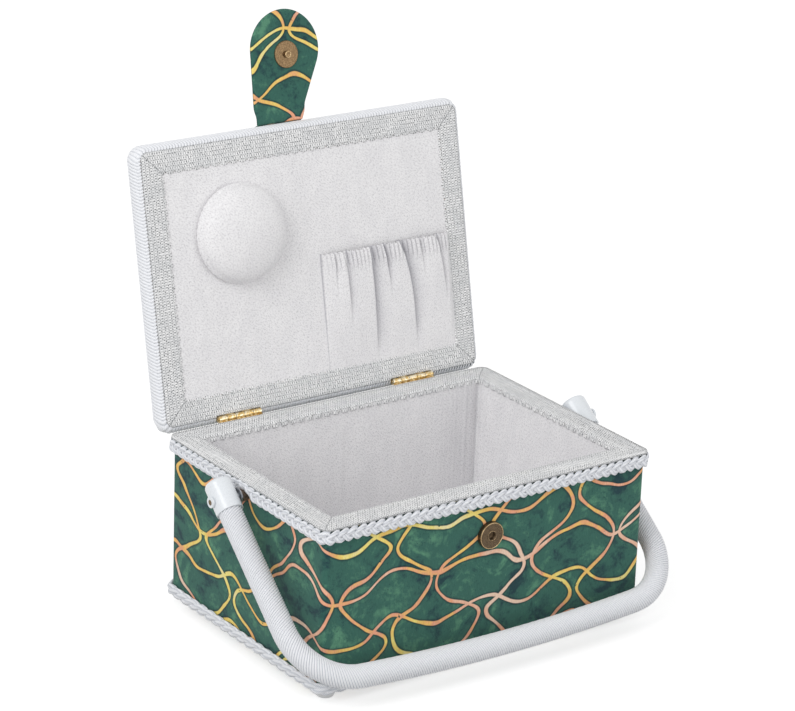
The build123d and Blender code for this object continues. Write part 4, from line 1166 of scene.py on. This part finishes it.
class SEWBOX_OT_pocket(PieceOperator):
    """Gathered pocket with its elastic. It stands out from the lining by a quarter sine up the pocket,
    closed at both sides, less its folds: each hangs from the gathers along a line that drifts sideways,
    sharp on the left, exp(-(5 off) ** 2), and soft on the right, exp(-off)."""

    bl_idname = "sewbox.pocket"
    bl_label = "Pocket"

    def execute(self, context):
        left, right, bottom, top = 4 * MM, 99.5 * MM, 13.6 * MM, 86 * MM
        thick, least, full = 0.7 * MM, 0.3 * MM, 6 * MM
        fold_depth, pleat_depth = 4.0 * MM, 0.8 * MM
        pleat_turns = TURN * 34
        gathered = 1.35
        q, u = np.meshgrid(np.linspace(0, 1, 560), np.linspace(0, 1, 64), indexing="ij")
        sides = np.sqrt(rising(q, 0, 0.01)) * (0.25 + 0.75 * np.sin(rising(q, 0, 0.2) * PI / 2))
        sides = sides * np.sin(rising(1 - q, 0, 0.05) * PI / 2)
        folds = np.zeros_like(q)
        for start, drift, width, depth, foot in (
                (0.085, 0.01, 0.016, 0.6, 0.62), (0.165, 0.03, 0.040, 0.7, 0.35),
                (0.36, 0.03, 0.060, 1.0, 0.0), (0.46, 0.06, 0.030, 0.8, 0.58),
                (0.59, 0.11, 0.055, 1.0, 0.05), (0.74, 0.04, 0.024, 0.5, 0.66),
                (0.87, 0.08, 0.034, 0.7, 0.40)):
            off = (q - (start + drift * (1 - np.exp(-(1 - u) / 0.3)))) / width
            hollow = np.where(off > 0, np.exp(-np.abs(off)), bell(off, 0.2))
            folds -= depth * hollow * rising(u, foot, 0.25) * (0.55 + 0.45 * u)
        gathers = (q - 0.1 * (1 - u)) * pleat_turns + 0.8 * np.sin(q * 21)
        pleats = (2 * np.abs(np.sin(gathers / 2)) ** 0.7 - 1) * rising(u, 0.82, 0.08)
        out = least + (full - least) * np.sin(u * PI / 2) + folds * fold_depth + pleats * pleat_depth
        out = np.clip(out, least, None) * sides
        # The two sides lean out at the mouth, and its edge ruffles
        lean = 2.5 * MM * out / full * np.where(q < 0.5, 1, -1) * np.abs(2 * q - 1) ** 8
        ruffle = 0.5 * MM * np.sin(q * pleat_turns + 0.6) * rising(u, 0.93, 0.07)
        s = bottom + (top - bottom) * u + ruffle
        face = np.stack([left + (right - left) * q + lean, LID_AXIS[1] - s, TAPE - out], -1)
        lining = face + np.array([0, 0, thick])
        lining[..., 2] = np.minimum(lining[..., 2], TAPE)
        # Painted shade in the folds and between the pleats
        fold_shade = np.clip(1 + 0.9 * folds + 0.6 * np.minimum(pleats, 0), 0, 1)
        # Painted shadow along the left edge
        fold_shade *= np.maximum(rising(q, 0, 0.008), 0.1)
        wide = (right - left) * gathered
        cloth = np.stack([q * wide, s], -1)
        shell = Shell().add(opened(layered(face, lining)), layered(cloth, cloth), "flat",
                            layered(fold_shade, fold_shade))
        pocket = shell.build("pocket_cloth", "lining_cloth", "lid", ["pocket", "pocket_elastic"])
        return {"FINISHED"}


class SEWBOX_OT_flap(PieceOperator):
    """Closing flap in two cloths over its stiffener, and the tab that it hangs on. Its outline joins the
    corners of the neck to the round head by tangents. Its edge is a quarter round, with a bell-shaped
    hollow along the seam."""

    bl_idname = "sewbox.flap"
    bl_label = "Closing flap"

    def execute(self, context):
        ahead, radius, neck_half, half = 3 * MM, 24 * MM, 16 * MM, 1.25 * MM
        neck = -FLAP_REACH * math.tan(math.radians(14))
        head = np.array([0.0, -FLAP_REACH - ahead])
        cloth_shift = np.array([0.02, 0.055])

        def stepped(points):
            """Points moved outwards past the lid's edge by two equal arcs of radius
            (run ** 2 + step ** 2) / (4 * step), one hollow and one round."""
            step, start, run = 2.6 * MM, 1.5 * MM, 8 * MM
            arc_radius = (run ** 2 + step ** 2) / (4 * step)
            down = -points[..., 1]
            first, last = (arc_radius - np.sqrt(arc_radius ** 2 - np.clip(off, 0, run / 2) ** 2)
                           for off in (down - start, start + run - down))
            rise = np.where(down < start + run / 2, first, step - last)
            return points + rise[..., None] * np.array([0, 0, 1])

        def outline(inset):
            """Neck corners joined to the round head by tangents."""
            round_head = radius - inset
            ends = []
            for side in (-1, 1):
                corner = np.array([neck + side * (neck_half - inset), 1.4 * MM - inset])
                to = head - corner
                distance = np.linalg.norm(to)
                angle = math.atan2(to[1], to[0]) + side * math.asin(round_head / distance)
                run = math.sqrt(distance ** 2 - round_head ** 2)
                end = corner + run * np.array([math.cos(angle), math.sin(angle)])
                ends.append((corner, end, math.atan2(*(end - head)[::-1])))
            (left, left_end, first), (right, right_end, last) = ends
            turn = np.linspace(first, last + TURN * (last < first), 70)
            arc = head + round_head * np.column_stack([np.cos(turn), np.sin(turn)])
            q = np.linspace(0, 1, 24, endpoint=False)[:, None]
            sides = [a + (b - a) * q for a, b in ((right_end, right), (right, left), (left, left_end))]
            return np.concatenate([arc[:-1], *sides])

        def cloth_side(name, node, side):
            """One cloth: rings from the seam inwards, rounded at the edge and slightly puffed."""
            edge = outline(0.0)
            middle = np.array([neck * 0.35, -FLAP_REACH * 0.86])
            rows = []
            for inset in (0.0, 0.25, 0.7, 1.4, 2.4, 4.0):
                height = half * math.sqrt(1 - (1 - min(1, inset / 1.4)) ** 2)
                height -= 0.18 * MM * bell(inset - 2.4, 0.7)
                rows.append(level(outline(inset * MM), height * side))
            last = rows[-1][:, :2]
            for row in rings(last, middle, [(share, half) for share in np.linspace(0.05, 0.97, 26)]):
                row[:, 2] = side * (row[:, 2] + 0.1 * MM * np.sin(row[:, 1] * 190 + row[:, 0] * 60))
                rows.append(row)
            under = rings(last, middle, [(share, 0.55 * MM * side)
                                         for share in (0.97, 0.8, 0.6, 0.4, 0.2, 0.0)])
            grid = np.array([*under, level(edge, 0.02 * MM * side), *rows])
            # A soft crease across the neck, where the flap folds over the edge of the lid
            off = grid[..., 1] + 17 * MM + 0.25 * np.abs(grid[..., 0] - neck * 0.6)
            face_only = rising(np.abs(grid[..., 2]), 0.6 * MM, 0.6 * MM)
            grid[..., 2] -= 0.35 * MM * side * bell(off, 2.2 * MM) * face_only
            cloth = grid[..., :2] * np.array([side, 1]) + cloth_shift
            shell = Shell().add(flapped(stepped(grid)), cloth, "poles")
            piece = shell.build(name, "printed_cotton", "flap", [node])

        cloth_side("flap_outer_face", "flap_outer_cloth", 1)
        cloth_side("flap_inner_face", "flap_inner_cloth", -1)

        # Tab: cloth over the corded edge, from just short of the fold to its thin end under the cover
        thick = 0.8 * MM
        turn = np.radians(np.linspace(31, 90, 14))
        tongue = np.linspace(1 * MM, 14 * MM, 6)

        def over_edge(grown):
            """Side view of the tab's inner or outer face: a part of an oval, then level."""
            y = LID_FRONT + np.append(-(LID_EDGE_DEPTH + grown) * np.cos(turn), tongue)
            t = np.append(LID_EDGE_MIDDLE + (LID_EDGE_TALL + grown) * np.sin(turn),
                          np.full(len(tongue), LID_EDGE_TOP + grown))
            return np.column_stack([y, t])

        side_view = np.concatenate([over_edge(thick), over_edge(0.02 * MM)[::-1]])
        x = np.linspace(neck - neck_half, neck + neck_half, 16)
        grid = np.empty((len(x), len(side_view), 3))
        grid[..., 0] = x[:, None]
        grid[..., 1:] = side_view
        shell = Shell().add(opened(grid), grid[..., :2] + cloth_shift, "flat")
        shell.build("flap_tab_cloth", "printed_cotton", "lid", ["flap_tab"])
        return {"FINISHED"}


class SEWBOX_OT_handle(PieceOperator):
    """Cord wound round the handle: a straight arm, a round bend and half of a slow bow, mirrored. Its
    cords lie side by side, each a half-round ridge that runs round and along."""

    bl_idname = "sewbox.handle"
    bl_label = "Handle winding"

    def execute(self, context):
        cords = context.scene.sewing_cords
        reach, splay_out, bow, bend = 127 * MM, 2.8 * MM, 3 * MM, 36 * MM
        half_spread, start, radius, core = 127.5 * MM, 4 * MM, 7 * MM, 4.5 * MM
        lowered = math.radians(38.8)
        splay = math.atan2(splay_out, reach - bend)
        arm = np.array([math.sin(splay), math.cos(splay)])
        inward = np.array([-math.cos(splay), math.sin(splay)])
        pivot = np.array([half_spread, 0.0])
        bow_radius = ((half_spread - bend) ** 2 + bow ** 2) / (2 * bow)
        bow_centre = np.array([0.0, reach - bow_radius])
        offset = pivot + inward * bend - bow_centre
        along = offset @ arm
        run = math.sqrt(along ** 2 - offset @ offset + (bow_radius - bend) ** 2) - along
        bend_centre = pivot + arm * run + inward * bend
        a_from = math.atan2(*(-inward)[::-1])
        a_to = math.atan2(*(bend_centre - bow_centre)[::-1])
        arm_length = run - start
        bend_end = arm_length + bend * (a_to - a_from)
        half_length = bend_end + bow_radius * (PI / 2 - a_to)
        s = np.linspace(0, half_length, int(half_length / (1.2 * MM)))
        on_arm, on_bend = (s < arm_length)[:, None], (s < bend_end)[:, None]
        angle = np.where(s < bend_end, a_from + (s - arm_length) / bend, a_to + (s - bend_end) / bow_radius)
        facing = np.where(on_arm, -inward, np.column_stack([np.cos(angle), np.sin(angle)]))
        line = np.where(on_arm, pivot + arm * (start + s)[:, None],
                        np.where(on_bend, bend_centre + bend * facing, bow_centre + bow_radius * facing))
        mirrored = np.array([-1, 1])
        line, facing = (np.concatenate([part, part[-2::-1] * mirrored]) for part in (line, facing))
        s = np.concatenate([s, 2 * half_length - s[-2::-1]])

        starts = cords.handle_starts
        around = starts * 6
        turns = round(2 * half_length / (cords.handle_pitch * starts))
        share = np.arange(around) / around
        phase = share * starts % 1.0
        ridge = ridged(phase)
        x_axis = np.array([1.0, 0.0, 0.0])
        y_axis = np.array([0.0, -math.cos(lowered), -math.sin(lowered)])
        centre = line[:, :1] * x_axis + line[:, 1:] * y_axis + np.array([0, 0, PIVOT_Z])
        face = (facing[:, :1] * x_axis + facing[:, 1:] * y_axis)[:, None]
        normal = np.cross(x_axis, y_axis)

        def ring(angle, reach):
            """Points round the centre line: face * cos(angle) * reach + normal * sin(angle) * reach."""
            across, over = ((wave * reach)[..., None] for wave in (np.cos(angle), np.sin(angle)))
            return centre[:, None] + across * face + over * normal

        outer = ring(TURN * (share - s[:, None] / (2 * half_length) * turns), radius - 0.7 * MM * (1 - ridge))
        hollow = ring(TURN * share, core)[::-6]
        cloth = cloth_grid(np.concatenate([s, s[::-6], s[:1]]), TURN * radius * np.append(share, 1.0))
        # Painted shade in the grooves between the cords, from the ridge
        relief = np.ones((len(outer) + len(hollow), around))
        relief[:len(outer)] = ridge
        shell = Shell().add(np.concatenate([outer, hollow]), cloth, relief=relief)
        shell.build("handle_winding", "wound_cord", "handle", ["handle_wrap"])
        return {"FINISHED"}


class SEWBOX_OT_fittings(PieceOperator):
    """Finishes for the boards, timber, metal and plastic that keep their own shape."""

    bl_idname = "sewbox.fittings"
    bl_label = "Boards and fittings"

    def execute(self, context):
        slots = {part["node"]: part["material_slot"] for part in frame["record"]["subparts"]}
        # The stud gets the lighter copy of the bronze, a painted light
        own = {"pivot_spacers": "spacer_metal", "pivot_bolt_left": "bolt_bronze",
               "pivot_bolt_right": "bolt_bronze", "snap_stud": "stud_bronze"}
        for name, piece in frame["nodes"].items():
            if piece.hide_render:
                continue
            material = finish(own.get(name, slots[name]))
            if not piece.material_slots:
                piece.data.materials.append(material)
            for holder in piece.material_slots:
                holder.material = material
        return {"FINISHED"}


class SEWBOX_OT_eyelet(PieceOperator):
    """Raised parts of the snap: an eyelet in the hole of its socket, and a ring on each disc, the rings in a
    lighter bronze that paints their highlight. Each is a profile of (radius, height) in millimetres, turned about
    the snap's axis."""

    bl_idname = "sewbox.eyelet"
    bl_label = "Snap rings"

    def execute(self, context):
        low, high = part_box("snap_socket")
        middle = (low[2] + high[2]) / 2

        def on_front(x, up, out):
            """From the snap's own place to the front of the box."""
            return np.stack([x, low[1] - out, middle + up], -1)

        def on_flap(x, up, out):
            """From the snap's own place to the inner face of the stud's disc."""
            return flapped(np.stack([x, up - FLAP_REACH, 0.35 * MM - out], -1))

        around = np.linspace(0, TURN, 10, endpoint=False)
        tube = np.column_stack([np.cos(around), np.sin(around)])
        well = [(0.5, -2.4), (2.3, -2.4), (2.5, -2.2), (2.5, 0.0), (3.3, 0.0), (3.3, 0.08), (2.95, 0.22),
                (2.5, 0.12), (2.32, -0.1), (2.32, -2.15), (2.2, -2.25), (0.5, -2.25)]
        for name, material, body, profile, place, ends in (
                ("snap_eyelet", "snap_bronze", "box", well, on_front, "poles"),
                ("socket_lip", "worn_bronze", "box", (2.95, 0.02) + tube * 0.2, on_front, "joined"),
                ("socket_ring", "worn_bronze", "box", (7.75, -0.12) + tube * 0.28, on_front, "joined"),
                ("knob_ring", "worn_bronze", "flap", (1.75, 1.55) + tube * 0.4, on_flap, "joined")):
            r, height = np.hsplit(np.array(profile) * MM, 2)
            angle = np.linspace(0, TURN, 48, endpoint=False)
            cloth = cloth_grid(np.arange(len(r) + 1) * MM, np.linspace(0, 15 * MM, len(angle) + 1))
            grid = place(r * np.cos(angle), r * np.sin(angle), height + 0 * angle)
            Shell().add(grid, cloth, ends).build(name, material, body, [], "snap_bronze")
        return {"FINISHED"}


class SEWBOX_OT_stage(PieceOperator):
    """White studio: a floor that keeps the shadow, soft lamps, and the camera."""

    bl_idname = "sewbox.stage"
    bl_label = "Studio"

    @staticmethod
    def stand(name, data, right, up, back, place):
        """A lamp or camera that looks against back, from its place."""
        holder = bpy.data.objects.new(name, data)
        bpy.context.scene.collection.objects.link(holder)
        holder.matrix_world = Matrix([*np.column_stack([right, up, back, place]).tolist(), (0, 0, 0, 1)])
        return holder

    def execute(self, context):
        scene = context.scene
        settings = scene.sewing_studio
        scene.view_settings.view_transform = "Standard"

        size = 12.0
        mesh = bpy.data.meshes.new("floor")
        mesh.from_pydata([(-size, -size, 0), (size, -size, 0), (size, size, 0), (-size, size, 0)], [],
                         [(0, 1, 2, 3)])
        floor = bpy.data.objects.new("floor", mesh)
        scene.collection.objects.link(floor)
        f = Finish("floor_white")
        f.set(Base_Color=(0.6, 0.6, 0.6), Roughness=1.0, Specular_IOR_Level=0.0,
              Emission_Color=f.mix(f.seen(), (0.0, 0.0, 0.0), WHITE), Emission_Strength=0.62)
        mesh.materials.append(f.owner)

        scene.world = bpy.data.worlds.new("studio")
        world = Nodes(scene.world)
        sky, white = (world.node("ShaderNodeBackground", None, {"Color": WHITE, "Strength": strength})
                      for strength in (settings.sky, 1.0))
        world.show("ShaderNodeOutputWorld",
                   world.node("ShaderNodeMixShader", None, {0: world.seen(), 1: sky, 2: white}))

        for name, place, power in (("key_lamp", (-1.5, -0.5, 1.25), settings.key),
                                   ("fill_lamp", (0.5, -1.6, 0.45), settings.fill)):
            lamp = bpy.data.lights.new(name, "AREA")
            lamp.energy = power
            lamp.size = 1.2
            back = np.array(place) - np.array([0, 0, 0.12])
            back = back / np.linalg.norm(back)
            side = np.cross([0, 0, 1.0], back)
            side = side / np.linalg.norm(side)
            self.stand(name, lamp, side, np.cross(back, side), back, place)

        # The camera that was fitted to the photo: its focal length in pixels, its place and its turns
        focal_length, photo_width = 3181.8, 795
        camera = bpy.data.cameras.new("camera")
        camera.sensor_width = 36.0
        camera.lens = focal_length / photo_width * camera.sensor_width
        camera.clip_start = 0.05
        camera.clip_end = 60.0
        place = (-1.01906, -1.39339, 0.79713)
        yaw, pitch, roll = -0.62624, -0.35328, 0.03736
        ahead = np.array([-math.sin(yaw) * math.cos(pitch), math.cos(yaw) * math.cos(pitch), math.sin(pitch)])
        right = np.array([math.cos(yaw), math.sin(yaw), 0.0])
        upward = np.cross(right, ahead)
        scene.camera = self.stand("camera", camera, math.cos(roll) * right + math.sin(roll) * upward,
                                  math.cos(roll) * upward - math.sin(roll) * right, -ahead, place)
        return {"FINISHED"}


class SEWBOX_PT_panel(bpy.types.Panel):
    """Lists the pieces in the sidebar."""

    bl_idname = "SEWBOX_PT_panel"
    bl_label = "Sewing box"
    bl_space_type = "VIEW_3D"
    bl_region_type = "UI"
    bl_category = "Sewing box"

    def draw(self, context):
        for operator in OPERATORS:
            self.layout.operator(operator.bl_idname)
        for name in GROUPS:
            box = self.layout.box()
            settings = getattr(context.scene, name)
            for key in settings.__annotations__:
                box.prop(settings, key)


OPERATORS = (
    SEWBOX_OT_stage, SEWBOX_OT_cover, SEWBOX_OT_inside, SEWBOX_OT_rim_tape, SEWBOX_OT_braids,
    SEWBOX_OT_lid_edge, SEWBOX_OT_lid_cover, SEWBOX_OT_lid_inside, SEWBOX_OT_pin_cushion, SEWBOX_OT_pocket,
    SEWBOX_OT_flap, SEWBOX_OT_handle, SEWBOX_OT_eyelet, SEWBOX_OT_fittings)
GROUPS = {
    "sewing_print": PrintSettings,
    "sewing_lining": LiningSettings,
    "sewing_cords": CordSettings,
    "sewing_metals": MetalSettings,
    "sewing_studio": StudioSettings,
}
CLASSES = (*GROUPS.values(), *OPERATORS, SEWBOX_PT_panel)


def register():
    for made in CLASSES:
        bpy.utils.register_class(made)
    for name, group in GROUPS.items():
        setattr(bpy.types.Scene, name, PointerProperty(type=group))


def unregister():
    for name in GROUPS:
        delattr(bpy.types.Scene, name)
    for made in reversed(CLASSES):
        bpy.utils.unregister_class(made)


def main():
    register()
    for operator in OPERATORS:
        prefix, name = operator.bl_idname.split(".")
        getattr(getattr(bpy.ops, prefix), name)()
    bpy.context.view_layer.update()


if __name__ == "__main__":
    main()
